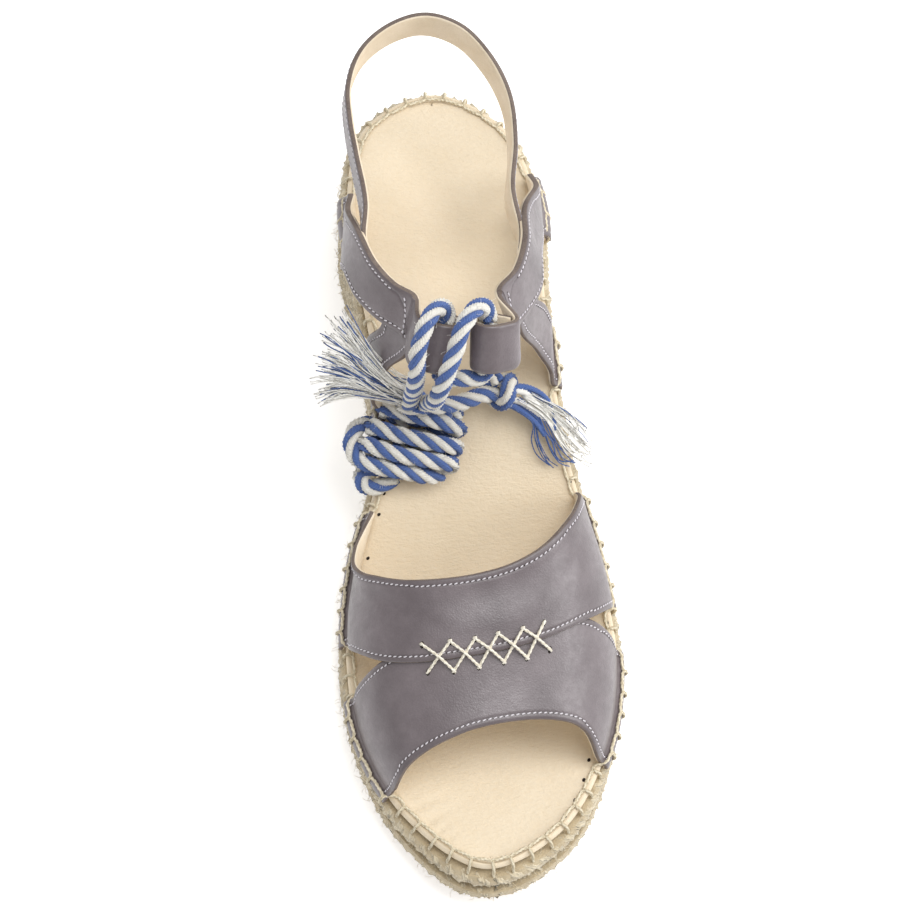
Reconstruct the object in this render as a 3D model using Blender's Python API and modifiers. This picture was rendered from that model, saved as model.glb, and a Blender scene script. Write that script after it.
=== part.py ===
"""Wedge espadrille sandal for the left foot, about EU 38.

Metres, +Z up. The toe points to -Y, the heel to +Y, the little toe to +X. The origin lies on the
floor under the flat of the outsole, half way along the footbed. Pieces: rubber outsole, jute wedge
and the jute row above it, footbed, vamp of two bands, rear upper (two quarters with their lace
tunnels and the heel strap, joined), and a rope lace wound into a hank, with two frayed ends.
"""
import math

import bmesh
import bpy
import numpy as np
from mathutils import Matrix, Vector

MM = 0.001

# Driving sizes of the sole
FOOTBED_LENGTH = 253 * MM
BALL_WIDTH = 87.3 * MM
HEEL_HEIGHT = 58 * MM
FOREFOOT_HEIGHT = 21 * MM
TOE_SPRING = 6 * MM
OUTSOLE_THICKNESS = 3.0 * MM
FOOTBED_THICKNESS = 4.5 * MM
FOOTBED_CUP = 1.4 * MM
JUTE_ROW = 6.6 * MM
JUTE_BULGE = 2.5 * MM
JUTE_TOE_FLARE = 5.0 * MM
OUTSOLE_INSET = 1.0 * MM
GAP = 0.35 * MM

# Driving sizes of the upper
INSTEP_HEIGHT = 62 * MM
VAMP_LEATHER = 2.0 * MM
STRAP_LEATHER = 2.0 * MM
LAST_INSET = 2.2 * MM
HEEL_STRAP_WIDTH = 14 * MM
HEEL_STRAP_RISE = 64 * MM
TUNNEL_RADIUS = 3.7 * MM

# Driving sizes of the lace
ROPE = 5.4 * MM
HANK_WIDTH = 37 * MM
HANK_LENGTH = 22 * MM
HANK_THICKNESS = 15 * MM

# The footbed's outline, clockwise from the heel as seen from above.
# Columns: name, share of the footbed's length from the heel, share of the ball's width (+ outwards)
OUTLINE = (
    ("heel back", 0.000, 0.020),
    ("heel inner corner", 0.038, -0.252),
    ("heel inner side", 0.142, -0.347),
    ("heel inner front", 0.253, -0.326),
    ("waist inner", 0.383, -0.289),
    ("waist inner front", 0.482, -0.315),
    ("ball inner rear", 0.593, -0.430),
    ("ball inner", 0.719, -0.486),
    ("toe inner rear", 0.826, -0.456),
    ("toe inner corner", 0.925, -0.321),
    ("toe tip", 1.000, -0.040),
    ("toe outer corner", 0.962, 0.229),
    ("toe outer rear", 0.866, 0.430),
    ("ball outer", 0.723, 0.518),
    ("ball outer rear", 0.613, 0.483),
    ("waist outer", 0.466, 0.392),
    ("heel outer front", 0.277, 0.355),
    ("heel outer side", 0.158, 0.360),
    ("heel outer corner", 0.053, 0.263),
)

# Heights along the shoe.
# Columns: name, share of length from the heel, footbed's height between forefoot (0) and heel (1),
# the last's height above the footbed as a share of the instep height
SECTIONS = (
    ("heel", 0.00, 1.00, 0.95),
    ("heel seat", 0.17, 0.99, 1.00),
    ("arch rear", 0.30, 0.87, 1.00),
    ("arch", 0.43, 0.56, 0.93),
    ("arch front", 0.56, 0.18, 0.80),
    ("ball rear", 0.66, 0.02, 0.635),
    ("ball", 0.75, 0.00, 0.515),
    ("toe rear", 0.85, 0.00, 0.425),
    ("toe", 1.00, 0.00, 0.30),
)
TOE_SPRING_START = 0.78

# Edges of the vamp's two bands, as shares of the footbed's length from the heel.
# Columns: name, place across (-1 inner sole edge, 0 top, 1 outer sole edge),
# rear band's rear edge, rear band's front edge, front band's rear edge, front band's front edge
VAMP_EDGES = (
    ("inner sole", -1.00, 0.532, 0.696, 0.767, 0.897),
    ("inner wall", -0.75, 0.610, 0.719, 0.755, 0.889),
    ("inner notch", -0.50, 0.642, 0.743, 0.738, 0.870),
    ("inner top", -0.25, 0.655, 0.753, 0.727, 0.852),
    ("top", 0.00, 0.654, 0.750, 0.723, 0.837),
    ("outer top", 0.25, 0.632, 0.735, 0.711, 0.834),
    ("outer notch", 0.50, 0.593, 0.711, 0.708, 0.842),
    ("outer wall", 0.75, 0.555, 0.690, 0.719, 0.868),
    ("outer sole", 1.00, 0.530, 0.674, 0.731, 0.877),
)
DOME_POWER = 2.3
MOUTH_FLARE = 3.6 * MM

# The leather's foot, where it turns out over the footbed's edge.
# Columns: distance out from the footbed's edge, height above the footbed, both in footbed thicknesses
MARGIN = (
    (-0.49, 1.00),
    (-0.38, 0.53),
    (-0.16, 0.20),
    (0.13, -0.20),
    (0.19, -0.54),
    (0.22, -0.84),
)

STATIONS = 40
HALF_LENGTH = FOOTBED_LENGTH / 2


# Interpolation

def hermite(xs, ys, x):
    """Smooth value at x through a table's points, with tangents from the neighbours."""
    xs, ys = np.asarray(xs, float), np.asarray(ys, float)
    slopes = np.gradient(ys, xs)
    k = np.clip(np.searchsorted(xs, x) - 1, 0, len(xs) - 2)
    step = xs[k + 1] - xs[k]
    t = np.clip((x - xs[k]) / step, 0.0, 1.0)
    value = (2 * t**3 - 3 * t**2 + 1) * ys[k] + (t**3 - 2 * t**2 + t) * step * slopes[k]
    return value + (3 * t**2 - 2 * t**3) * ys[k + 1] + (t**3 - t**2) * step * slopes[k + 1]


def smooth_path(points, count, closed=False, crowd=0.0):
    """count points along a smooth curve through the given ones: evenly spaced, or with crowd
    above 0 closer together towards both ends."""
    points = np.asarray(points, float)
    if closed:
        points = np.vstack([points[-3:], points, points[:4]])
    lengths = np.linalg.norm(np.diff(points, axis=0), axis=1)
    at = np.concatenate([[0.0], np.cumsum(lengths)])
    first, last = (at[3], at[-4]) if closed else (at[0], at[-1])
    fine = np.linspace(first, last, 24 * len(points))
    dense = np.stack([hermite(at, points[:, k], fine) for k in range(points.shape[1])], axis=1)
    run = np.concatenate([[0.0], np.cumsum(np.linalg.norm(np.diff(dense, axis=0), axis=1))])
    even = np.linspace(0.0, 1.0, count)
    wanted = run[-1] * (even - crowd * np.sin(2 * np.pi * even) / (2 * np.pi))
    return np.stack([np.interp(wanted, run, dense[:, k]) for k in range(dense.shape[1])], axis=1)


# The sole's outline and heights

def place_along(share):
    return HALF_LENGTH - share * FOOTBED_LENGTH


def share_along(y):
    return (HALF_LENGTH - y) / FOOTBED_LENGTH


def outline_sides():
    """The footbed's inner and outer edge, each from the heel's back to the toe's tip."""
    corners = [(share * BALL_WIDTH, place_along(along)) for _, along, share in OUTLINE]
    loop = smooth_path(corners, 900, closed=True)[:-1]
    back, tip = int(np.argmax(loop[:, 1])), int(np.argmin(loop[:, 1]))
    loop = np.roll(loop, -back, axis=0)
    tip = (tip - back) % len(loop)
    inner = loop[: tip + 1]
    outer = np.vstack([loop[tip:], loop[:1]])[::-1]
    return inner, outer


INNER_EDGE, OUTER_EDGE = outline_sides()
HEEL_Y, TOE_Y = INNER_EDGE[0, 1], INNER_EDGE[-1, 1]


def edge_x(y, outer):
    side = OUTER_EDGE if outer else INNER_EDGE
    return np.interp(-y, -side[:, 1], side[:, 0])


def edge_frame(y, outer):
    """A point on the footbed's edge at y, and the direction straight out from it."""
    step = 1.5 * MM
    a, b = min(y + step, HEEL_Y), max(y - step, TOE_Y)
    along = np.array([edge_x(b, outer) - edge_x(a, outer), b - a])
    along /= np.linalg.norm(along)
    out = np.array([-along[1], along[0]]) if outer else np.array([along[1], -along[0]])
    return np.array([edge_x(y, outer), y]), out


def toe_lift(y):
    share = (share_along(y) - TOE_SPRING_START) / (1 - TOE_SPRING_START)
    return TOE_SPRING * np.clip(share, 0.0, 1.3) ** 2


def bed_height(y):
    share = hermite([s[1] for s in SECTIONS], [s[2] for s in SECTIONS], share_along(y))
    return FOREFOOT_HEIGHT + (HEEL_HEIGHT - FOREFOOT_HEIGHT) * share + toe_lift(y)


def last_height(y):
    share = hermite([s[1] for s in SECTIONS], [s[3] for s in SECTIONS], share_along(y))
    return INSTEP_HEIGHT * share


def toe_flare(y):
    """How far the jute stands out further round the toe, from 0 at its sides to 1 at its tip."""
    return float(np.clip((share_along(y) - 0.80) / 0.20, 0.0, 1.0)) ** 1.6


def ring():
    """The outline as (point, outward direction) pairs, from heel to toe and back, in stations."""
    ys = [
        (HEEL_Y + TOE_Y) / 2 + (HEEL_Y - TOE_Y) / 2 * math.cos(math.pi * k / STATIONS)
        for k in range(STATIONS + 1)
    ]
    heel = (np.array([INNER_EDGE[0, 0], HEEL_Y]), np.array([0.0, 1.0]))
    toe = (np.array([INNER_EDGE[-1, 0], TOE_Y]), np.array([0.0, -1.0]))
    inner = [edge_frame(y, False) for y in ys[1:-1]]
    outer = [edge_frame(y, True) for y in ys[1:-1]]
    return [heel, *inner, toe, *outer[::-1]]


RING = ring()


# Mesh helpers

def collection(name):
    made = bpy.data.collections.new(name)
    bpy.context.scene.collection.children.link(made)
    return made


def material(name, colour, roughness, metallic=0.0):
    made = bpy.data.materials.new(name)
    made.use_nodes = True
    shader = made.node_tree.nodes["Principled BSDF"]
    shader.inputs["Base Color"].default_value = (*colour, 1.0)
    shader.inputs["Roughness"].default_value = roughness
    shader.inputs["Metallic"].default_value = metallic
    return made


def add_object(name, mesh, look):
    made = bpy.data.objects.new(name, mesh)
    PARTS.objects.link(made)
    mesh.materials.clear()
    mesh.materials.append(look)
    return made


def mesh_from(name, vertices, faces):
    mesh = bpy.data.meshes.new(name)
    mesh.from_pydata([tuple(v) for v in vertices], [], faces)
    mesh.validate()
    mesh.shade_smooth()
    return mesh


def loft_levels(name, levels, look, crown=None):
    """A closed solid through rings of the outline, capped across from inner to outer side.
    Each level is a function of a ring entry that gives a point. crown(u, y) lowers the top."""
    size = len(RING)
    vertices = [level(point, out) for level in levels for point, out in RING]
    faces = []
    for k in range(len(levels) - 1):
        for i in range(size):
            j = (i + 1) % size
            faces.append((k * size + i, k * size + j, (k + 1) * size + j, (k + 1) * size + i))
    half = size // 2
    for k, flipped in ((0, True), (len(levels) - 1, False)):
        base = k * size
        columns = 7 if crown and not flipped else 1
        rows = [[base]]
        for i in range(1, half):
            a, b = vertices[base + i], vertices[base + size - i]
            row = [base + i]
            for c in range(1, columns):
                u = c / columns
                middle = a + (b - a) * u
                middle[2] -= crown(2 * u - 1)
                row.append(len(vertices))
                vertices.append(middle)
            rows.append([*row, base + size - i])
        rows.append([base + half])
        for one, two in zip(rows, rows[1:]):
            faces += strip(one, two, flipped)
    mesh = mesh_from(name, vertices, faces)
    weld(mesh)
    mesh.set_sharp_from_angle(angle=math.radians(50))
    return add_object(name, mesh, look)


def strip(one, two, flipped):
    """Faces between two rows of vertices; a row of one vertex makes a fan."""
    faces = []
    if len(one) == 1:
        faces = [(one[0], two[c], two[c + 1]) for c in range(len(two) - 1)]
    elif len(two) == 1:
        faces = [(one[c], two[0], one[c + 1]) for c in range(len(one) - 1)]
    else:
        faces = [(one[c], two[c], two[c + 1], one[c + 1]) for c in range(len(one) - 1)]
    return [tuple(reversed(f)) for f in faces] if flipped else faces


def weld(mesh):
    """Joins vertices that fell together and points every face outwards."""
    work = bmesh.new()
    work.from_mesh(mesh)
    bmesh.ops.remove_doubles(work, verts=work.verts, dist=0.01 * MM)
    bmesh.ops.dissolve_degenerate(work, edges=work.edges, dist=0.01 * MM)
    bmesh.ops.recalc_face_normals(work, faces=work.faces)
    work.to_mesh(mesh)
    work.free()


def sheet(name, rows, thickness, look):
    """A leather piece: a grid of points on its lining side, made solid towards its outer side."""
    rows = np.asarray(rows, float)
    high, wide = rows.shape[:2]
    faces = [
        (r * wide + c, r * wide + c + 1, (r + 1) * wide + c + 1, (r + 1) * wide + c)
        for r in range(high - 1)
        for c in range(wide - 1)
    ]
    made = add_object(name, mesh_from(name, rows.reshape(-1, 3), faces), look)
    solid = made.modifiers.new("leather", "SOLIDIFY")
    solid.thickness = thickness
    solid.offset = 1.0
    return made


def join_pieces(first, others):
    """One solid from pieces that are sewn together where they cross."""
    for k, other in enumerate(others):
        union = first.modifiers.new("sewn %d" % k, "BOOLEAN")
        union.operation = "UNION"
        union.solver = "EXACT"
        union.object = other
    solid = bpy.data.meshes.new_from_object(
        first.evaluated_get(bpy.context.evaluated_depsgraph_get())
    )
    first.modifiers.clear()
    first.data = solid
    for other in others:
        bpy.data.objects.remove(other)
    work = bmesh.new()
    work.from_mesh(solid)
    bmesh.ops.remove_doubles(work, verts=work.verts, dist=0.02 * MM)
    bmesh.ops.dissolve_degenerate(work, edges=work.edges, dist=0.02 * MM)
    work.to_mesh(solid)
    work.free()
    return first


# Sole

def level_point(point, out, away, z):
    spot = point + out * away
    return np.array([spot[0], spot[1], z])


def jute_out(point, share, flare):
    """How far the jute stands out from the footbed's edge at a share of one row's height."""
    round_row = math.sin(math.pi * min(max(share, 0.0), 1.0)) ** 0.6
    return JUTE_BULGE * (0.3 + 0.7 * round_row) + JUTE_TOE_FLARE * flare * toe_flare(point[1])


def wedge_top(y):
    """The height of the wedge's upper face, under the jute row that follows the footbed."""
    return bed_height(y) - FOOTBED_THICKNESS - JUTE_ROW - 2 * GAP


def make_outsole(look):
    def level(height, inset):
        def at(point, out):
            away = jute_out(point, 0.0, 1.0) - OUTSOLE_INSET - inset
            return level_point(point, out, away, toe_lift(point[1]) + height)
        return at

    bevel = 0.8 * MM
    top = OUTSOLE_THICKNESS
    return loft_levels("outsole", [level(0.0, bevel), level(bevel, 0.0), level(top, 0.0)], look)


def make_wedge(look):
    """Rows of jute braid lie level on the outsole, and the slope of the footbed cuts them off."""
    start = OUTSOLE_THICKNESS + GAP
    steps = 4
    count = math.ceil((HEEL_HEIGHT - start) / JUTE_ROW) * steps

    def level(k):
        def at(point, out):
            rise = min(k * JUTE_ROW / steps, wedge_top(point[1]) - start - toe_lift(point[1]))
            share = (rise / JUTE_ROW) % 1.0
            away = jute_out(point, share, 1.0)
            return level_point(point, out, away, toe_lift(point[1]) + start + rise)
        return at

    return loft_levels("jute_wedge", [level(k) for k in range(count + 1)], look)


def make_top_row(look):
    """The row of braid under the footbed runs all the way round and follows its slope."""
    steps = 6

    def level(k):
        def at(point, out):
            away = jute_out(point, k / steps, 0.45)
            z = wedge_top(point[1]) + GAP + JUTE_ROW * k / steps
            return level_point(point, out, away, z)
        return at

    return loft_levels("jute_top_row", [level(k) for k in range(steps + 1)], look)


def make_footbed(look):
    """The padded footbed with its cover folded down over the edge."""
    profile = ((0.0, 1.0), (0.1, 0.36), (-0.35, 0.10), (-1.4, 0.0))

    def level(out_mm, down):
        def at(point, out):
            z = bed_height(point[1]) - FOOTBED_THICKNESS * down
            return level_point(point, out, out_mm * MM, z)
        return at

    def crown(u):
        return FOOTBED_CUP * (1 - u * u)

    levels = [level(out_mm, down) for out_mm, down in profile]
    return loft_levels("footbed", levels, look, crown)


# Vamp

def margin_point(y, outer, row):
    """A point of the leather's foot, where it turns out over the footbed's edge."""
    point, out = edge_frame(y, outer)
    away, up = MARGIN[row]
    spot = point + out * away * FOOTBED_THICKNESS
    return np.array([spot[0], spot[1], bed_height(y) + up * FOOTBED_THICKNESS])


def last_point(y, across, lift=0.0):
    """A point on the last at y; across runs from the inner side (-1) over the top to the outer."""
    angle = across * math.pi / 2
    power = 2 / DOME_POWER
    sideways = math.copysign(abs(math.sin(angle)) ** power, across)
    upwards = abs(math.cos(angle)) ** power
    middle = (edge_x(y, False) + edge_x(y, True)) / 2
    half = (edge_x(y, True) - edge_x(y, False)) / 2 - LAST_INSET + lift
    return np.array([middle + half * sideways, y, bed_height(y) + (last_height(y) + lift) * upwards])


def mouth_flare(across, u):
    """How far the rear band's mouth stands out over the inner side of the ball; u is the share of
    the band's length from its rear edge."""
    bell = math.exp(-(((across + 0.74) / 0.17) ** 2))
    return MOUTH_FLARE * bell * max(0.0, 1 - u / 0.45) ** 2


def band_rows(rear, front, lift_front, flared, count):
    """The grid of one vamp band between two columns of VAMP_EDGES, its outer side facing out."""
    places = [row[1] for row in VAMP_EDGES]
    feet = len(MARGIN)
    arch = np.linspace(-0.84, 0.84, 19)
    rows = []
    for k in range(count + 1):
        u = k / count
        ramp = min(max((u - 0.45) / 0.25, 0.0), 1.0)
        lift = lift_front * ramp * ramp * (3 - 2 * ramp)

        def y_at(across):
            a = place_along(hermite(places, [row[rear] for row in VAMP_EDGES], across))
            b = place_along(hermite(places, [row[front] for row in VAMP_EDGES], across))
            return a + (b - a) * u

        row = [margin_point(y_at(-1.0), False, m) for m in range(feet - 1, -1, -1)]
        for across in arch:
            middle = math.sin(math.pi / 2 * min(1.0, (1 - abs(across)) * 3.2))
            spot = last_point(y_at(across), across, lift * middle)
            spot[0] -= flared * mouth_flare(across, u)
            row.append(spot)
        row += [margin_point(y_at(1.0), True, m) for m in range(feet)]
        rows.append(smooth_path(row, 31, crowd=0.7)[::-1])
    return rows


def make_vamp(look):
    """Two bands over the forefoot, the rear one lapped over the front one and sewn to it."""
    rear = sheet("vamp", band_rows(2, 3, 0.85 * VAMP_LEATHER, 1.0, 6), VAMP_LEATHER, look)
    front = sheet("vamp_front", band_rows(4, 5, 0.0, 0.0, 6), VAMP_LEATHER, look)
    return join_pieces(rear, [front])


# Rear upper
# Straps are tables of rungs from the sole to the instep. Columns: name, then for the rear or upper
# edge and for the front or lower edge: share of length, share of ball width, height above the
# footbed as a share of the instep height.
INNER_STRAP = (
    ("leg low", (0.170, -0.338, 0.24), (0.252, -0.368, 0.24)),
    ("corner", (0.245, -0.315, 0.65), (0.277, -0.372, 0.47)),
    ("instep rear", (0.289, -0.275, 0.75), (0.314, -0.344, 0.57)),
    ("instep", (0.320, -0.218, 0.82), (0.348, -0.281, 0.67)),
    ("instep front", (0.343, -0.149, 0.89), (0.378, -0.195, 0.76)),
)
INNER_STRAP_FOOT = (0.138, 0.225)
INNER_LEG = (
    ("leg low", (0.353, -0.318, 0.22), (0.415, -0.308, 0.22)),
    ("leg middle", (0.350, -0.312, 0.42), (0.396, -0.262, 0.48)),
)
INNER_LEG_FOOT = (0.355, 0.425)
INNER_LEG_TOP = (0.55, 0.68)
OUTER_STRAP = (
    ("leg low", (0.158, 0.330, 0.24), (0.235, 0.326, 0.24)),
    ("corner", (0.229, 0.252, 0.60), (0.273, 0.308, 0.41)),
    ("instep rear", (0.269, 0.240, 0.70), (0.314, 0.292, 0.50)),
    ("instep", (0.312, 0.195, 0.79), (0.352, 0.230, 0.64)),
    ("instep front", (0.345, 0.122, 0.88), (0.383, 0.178, 0.77)),
)
OUTER_STRAP_FOOT = (0.130, 0.208)
OUTER_LEG = (
    ("leg low", (0.328, 0.342, 0.16), (0.390, 0.340, 0.12)),
    ("leg middle", (0.322, 0.318, 0.34), (0.375, 0.290, 0.28)),
)
OUTER_LEG_FOOT = (0.325, 0.397)
OUTER_LEG_TOP = (0.45, 0.57)

# Where a piece passes under a strap: how far in from the strap's lower edge, and how far along
# the quarter its strap holds the heel strap's end. Shares of the strap's width and length.
LAP_EDGE = 0.98
LAP_END = 0.45
HEEL_STRAP_LAP = (0.44, 0.52)

# The tunnels' axes. Columns: name, upper mouth and lower mouth, each as share of length,
# share of ball width and height above the footbed as a share of the instep height
TUNNELS = (
    ("inner", (0.378, -0.057, 0.95), (0.424, -0.095, 0.84)),
    ("outer", (0.383, 0.088, 0.965), (0.429, 0.078, 0.86)),
)

# The lining of a tunnel, round its axis. Columns: towards the shoe's middle, outwards, both in
# tunnel radii; the row starts at the strap, runs round the lace and ends under the strap.
TUNNEL_LOOP = (
    (-2.05, 0.15),
    (-1.15, 0.68),
    (-0.35, 1.00),
    (0.45, 0.88),
    (0.98, 0.10),
    (0.50, -0.85),
    (-0.35, -1.00),
    (-1.10, -0.62),
    (-1.85, -0.22),
)

# The heel strap's upper edge. Columns: name, share of length, share of ball width,
# height above the heel's footbed as a share of the strap's rise
HEEL_STRAP = (
    ("inner front", 0.205, -0.290, 0.625),
    ("inner side", 0.145, -0.310, 0.700),
    ("inner rear", 0.105, -0.323, 0.755),
    ("inner corner", 0.070, -0.322, 0.825),
    ("inner back", 0.034, -0.270, 0.920),
    ("back inner", 0.010, -0.160, 0.980),
    ("back", 0.003, -0.040, 1.000),
    ("back outer", 0.018, 0.075, 0.985),
    ("outer back", 0.052, 0.168, 0.930),
    ("outer corner", 0.095, 0.228, 0.855),
    ("outer rear", 0.150, 0.240, 0.755),
    ("outer side", 0.205, 0.218, 0.675),
)
HEEL_STRAP_LEAN = 0.8 * MM


def strap_point(along, across, rise):
    y = place_along(along)
    return np.array([across * BALL_WIDTH, y, bed_height(y) + rise * INSTEP_HEIGHT])


def strap_columns(rungs, foot, outer, columns):
    """For each column of a strap, the points from its foot at the sole to its last rung."""
    lines = []
    for c in range(columns):
        u = c / (columns - 1)
        y = place_along(foot[0] + (foot[1] - foot[0]) * u)
        line = [margin_point(y, outer, m) for m in range(len(MARGIN) - 1, -1, -1)]
        for _, one, two in rungs:
            a, b = strap_point(*one), strap_point(*two)
            line.append(a + (b - a) * u)
        lines.append(line)
    return lines


def tunnel_points(which, u):
    """The lining of a lace tunnel at a share of its length, from its upper mouth."""
    _, one, two = TUNNELS[which]
    upper, lower = strap_point(*one), strap_point(*two)
    axis = (upper - lower) / np.linalg.norm(upper - lower)
    inward = np.array([1.0 if which == 0 else -1.0, 0.0, 0.0])
    inward -= axis * (inward @ axis)
    inward /= np.linalg.norm(inward)
    outward = np.cross(axis, inward)
    outward *= math.copysign(1.0, outward[2])
    centre = upper + (lower - upper) * u
    return [centre + (inward * a + outward * b) * TUNNEL_RADIUS for a, b in TUNNEL_LOOP]


def strap_grid(lines, rows):
    """Even rows across a set of lines, from the sole to the strap's end."""
    return np.stack([smooth_path(line, rows) for line in lines], axis=1)


def leather_grid(grid, outer):
    """The grid turned so that the outer side of the leather faces out."""
    return grid[:, ::-1] if outer else grid


def under_strap(grid, outer, along, across):
    """A point under a strap's lining, far enough in for the leathers to be sewn together there."""
    high, wide = grid.shape[:2]
    r, c = along * (high - 1), across * (wide - 1)
    r0, c0 = min(int(r), high - 2), min(int(c), wide - 2)
    fr, fc = r - r0, c - c0
    low = grid[r0, c0] * (1 - fc) + grid[r0, c0 + 1] * fc
    high_row = grid[r0 + 1, c0] * (1 - fc) + grid[r0 + 1, c0 + 1] * fc
    normal = np.cross(high_row - low, grid[r0, c0 + 1] - grid[r0, c0])
    normal *= (1.0 if outer else -1.0) / np.linalg.norm(normal)
    return low + (high_row - low) * fr - normal * 0.6 * STRAP_LEATHER


def make_quarter(name, which, strap, strap_foot, leg, leg_foot, leg_top, outer, look):
    """One quarter: a strap from the sole to its lace tunnel, with a leg sewn under it."""
    columns = 5
    lines = strap_columns(strap, strap_foot, outer, columns)
    for c, line in enumerate(lines):
        line += tunnel_points(which, c / (columns - 1))
    grid = strap_grid(lines, 44)
    main = sheet("quarter_" + name, leather_grid(grid, outer), STRAP_LEATHER, look)
    lines = strap_columns(leg, leg_foot, outer, columns)
    for c, line in enumerate(lines):
        along = leg_top[0] + (leg_top[1] - leg_top[0]) * c / (columns - 1)
        line += [under_strap(grid, outer, along, LAP_EDGE), under_strap(grid, outer, along, LAP_END)]
    front = sheet("leg_" + name, leather_grid(strap_grid(lines, 14), outer), STRAP_LEATHER, look)
    return grid, main, front


def make_heel_strap(inner_grid, outer_grid, look):
    """The strap round the heel, its ends sewn inside the two quarters."""
    first, last = HEEL_STRAP_LAP
    rows = []
    for k in range(4):
        u = k / 3
        drop = np.array([-HEEL_STRAP_LEAN * u, 0.0, -HEEL_STRAP_WIDTH * u])
        across = 0.1 + 0.75 * u
        path = [under_strap(inner_grid, False, at, across) for at in (last, first)]
        for _, along, sideways, rise in HEEL_STRAP:
            spot = (sideways * BALL_WIDTH, place_along(along), HEEL_HEIGHT + rise * HEEL_STRAP_RISE)
            path.append(np.array(spot) + drop)
        path += [under_strap(outer_grid, True, at, across) for at in (first, last)]
        rows.append(smooth_path(path, 40))
    return sheet("heel_strap", rows, STRAP_LEATHER, look)


def make_rear_upper(look):
    """Both quarters and the heel strap, sewn into one piece."""
    inner_grid, inner, inner_front = make_quarter(
        "inner", 0, INNER_STRAP, INNER_STRAP_FOOT, INNER_LEG, INNER_LEG_FOOT, INNER_LEG_TOP, False, look
    )
    outer_grid, outer, outer_front = make_quarter(
        "outer", 1, OUTER_STRAP, OUTER_STRAP_FOOT, OUTER_LEG, OUTER_LEG_FOOT, OUTER_LEG_TOP, True, look
    )
    heel = make_heel_strap(inner_grid, outer_grid, look)
    upper = join_pieces(inner, [inner_front, heel, outer, outer_front])
    upper.name = "rear_upper"
    return upper


# Lace
# Routes in millimetres, points chosen by hand along the lace as it lies.

LACE_BAR = (
    (-5.4, 29.4, 104.3),
    (-8.3, 19.2, 94.4),
    (-8.4, 18.0, 93.2),
    (-5.8, 16.8, 91.4),
    (-1.2, 16.2, 91.1),
    (3.8, 15.9, 91.5),
    (6.2, 16.6, 92.9),
    (6.8, 18.0, 95.1),
    (7.6, 28.8, 105.4),
)
LOOP_INNER = (
    (-5.2, 30.1, 105.0),
    (-4.9, 31.4, 106.3),
    (-6.0, 33.2, 110.4),
    (-8.6, 31.8, 113.6),
    (-12.4, 26.0, 115.1),
    (-15.0, 20.2, 110.9),
    (-15.6, 16.3, 104.6),
    (-15.9, 15.1, 92.4),
    (-16.3, 17.6, 74.0),
    (-16.4, 18.2, 65.0),
)
LOOP_OUTER = (
    (7.7, 29.5, 106.1),
    (7.8, 30.9, 107.4),
    (6.8, 32.4, 111.2),
    (3.6, 30.9, 114.4),
    (-0.6, 25.6, 115.0),
    (-4.2, 18.2, 109.0),
    (-7.4, 12.4, 102.1),
    (-9.4, 11.2, 89.4),
    (-10.3, 14.6, 74.2),
    (-10.4, 18.0, 63.8),
)
TAIL = (
    (-8.6, 17.0, 60.5),
    (-3.0, 18.1, 58.7),
    (3.0, 20.2, 56.0),
    (8.4, 22.4, 53.8),
)
KNOT_PLACE = (13.0, 23.6, 51.8)
KNOT_SIZE = (7.8, 10.6, 9.8)
HANK_PLACE = (-17.6, 8.4)
HANK_TURN = math.radians(2.0)
HANK_CLEARANCE = 0.5 * MM

# The locks of the two frayed ends: the root, and for each lock its further points
INNER_ROOT = (-22.2, 19.0, 67.0)
INNER_LOCKS = (
    ((-29.0, 18.6, 69.6), (-38.0, 18.6, 71.0), (-48.0, 19.6, 68.6)),
    ((-28.6, 20.6, 74.6), (-37.0, 25.2, 76.8), (-48.0, 31.4, 71.6)),
    ((-27.4, 21.6, 78.6), (-34.9, 30.0, 81.2), (-43.5, 40.0, 74.6)),
    ((-26.4, 21.8, 82.6), (-32.4, 31.8, 87.0), (-37.0, 46.4, 79.0)),
)
OUTER_ROOT = (20.2, 23.0, 49.6)
OUTER_LOCKS = (
    ((25.4, 21.0, 47.6), (32.0, 15.4, 45.6), (38.6, 7.2, 43.4), (43.4, 1.6, 40.6)),
    ((24.6, 18.4, 46.6), (30.0, 11.6, 44.0), (35.4, 3.4, 41.8), (40.4, -5.0, 39.4)),
    ((23.0, 17.0, 46.0), (26.6, 10.0, 43.2), (30.6, 1.4, 40.4), (35.4, -7.4, 38.6)),
)
LOCK_ROOT = 2.6 * MM
LOCK_TIP = 1.5 * MM


def rope_tube(name, route, look, points, radii=(ROPE / 2, ROPE / 2)):
    """A round tube along a smooth route, its radius going evenly from the first to the last."""
    curve = bpy.data.curves.new(name, "CURVE")
    curve.dimensions = "3D"
    curve.bevel_depth = radii[0]
    curve.bevel_resolution = 2
    curve.use_fill_caps = True
    spline = curve.splines.new("POLY")
    path = smooth_path(np.array(route) * MM, points)
    spline.points.add(len(path) - 1)
    for k, (point, spot) in enumerate(zip(spline.points, path)):
        point.co = (*spot, 1.0)
        point.radius = 1.0 + (radii[1] / radii[0] - 1.0) * k / (len(path) - 1)
    made = bpy.data.objects.new(name, curve)
    PARTS.objects.link(made)
    curve.materials.append(look)
    return made


def as_mesh(made):
    """The same tube as a mesh, its caps welded on."""
    mesh = bpy.data.meshes.new_from_object(
        made.evaluated_get(bpy.context.evaluated_depsgraph_get())
    )
    work = bmesh.new()
    work.from_mesh(mesh)
    bmesh.ops.remove_doubles(work, verts=work.verts, dist=0.01 * MM)
    work.to_mesh(mesh)
    work.free()
    solid = bpy.data.objects.new(made.name, mesh)
    solid.matrix_world = made.matrix_world
    PARTS.objects.link(solid)
    bpy.data.objects.remove(made)
    return solid


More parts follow.
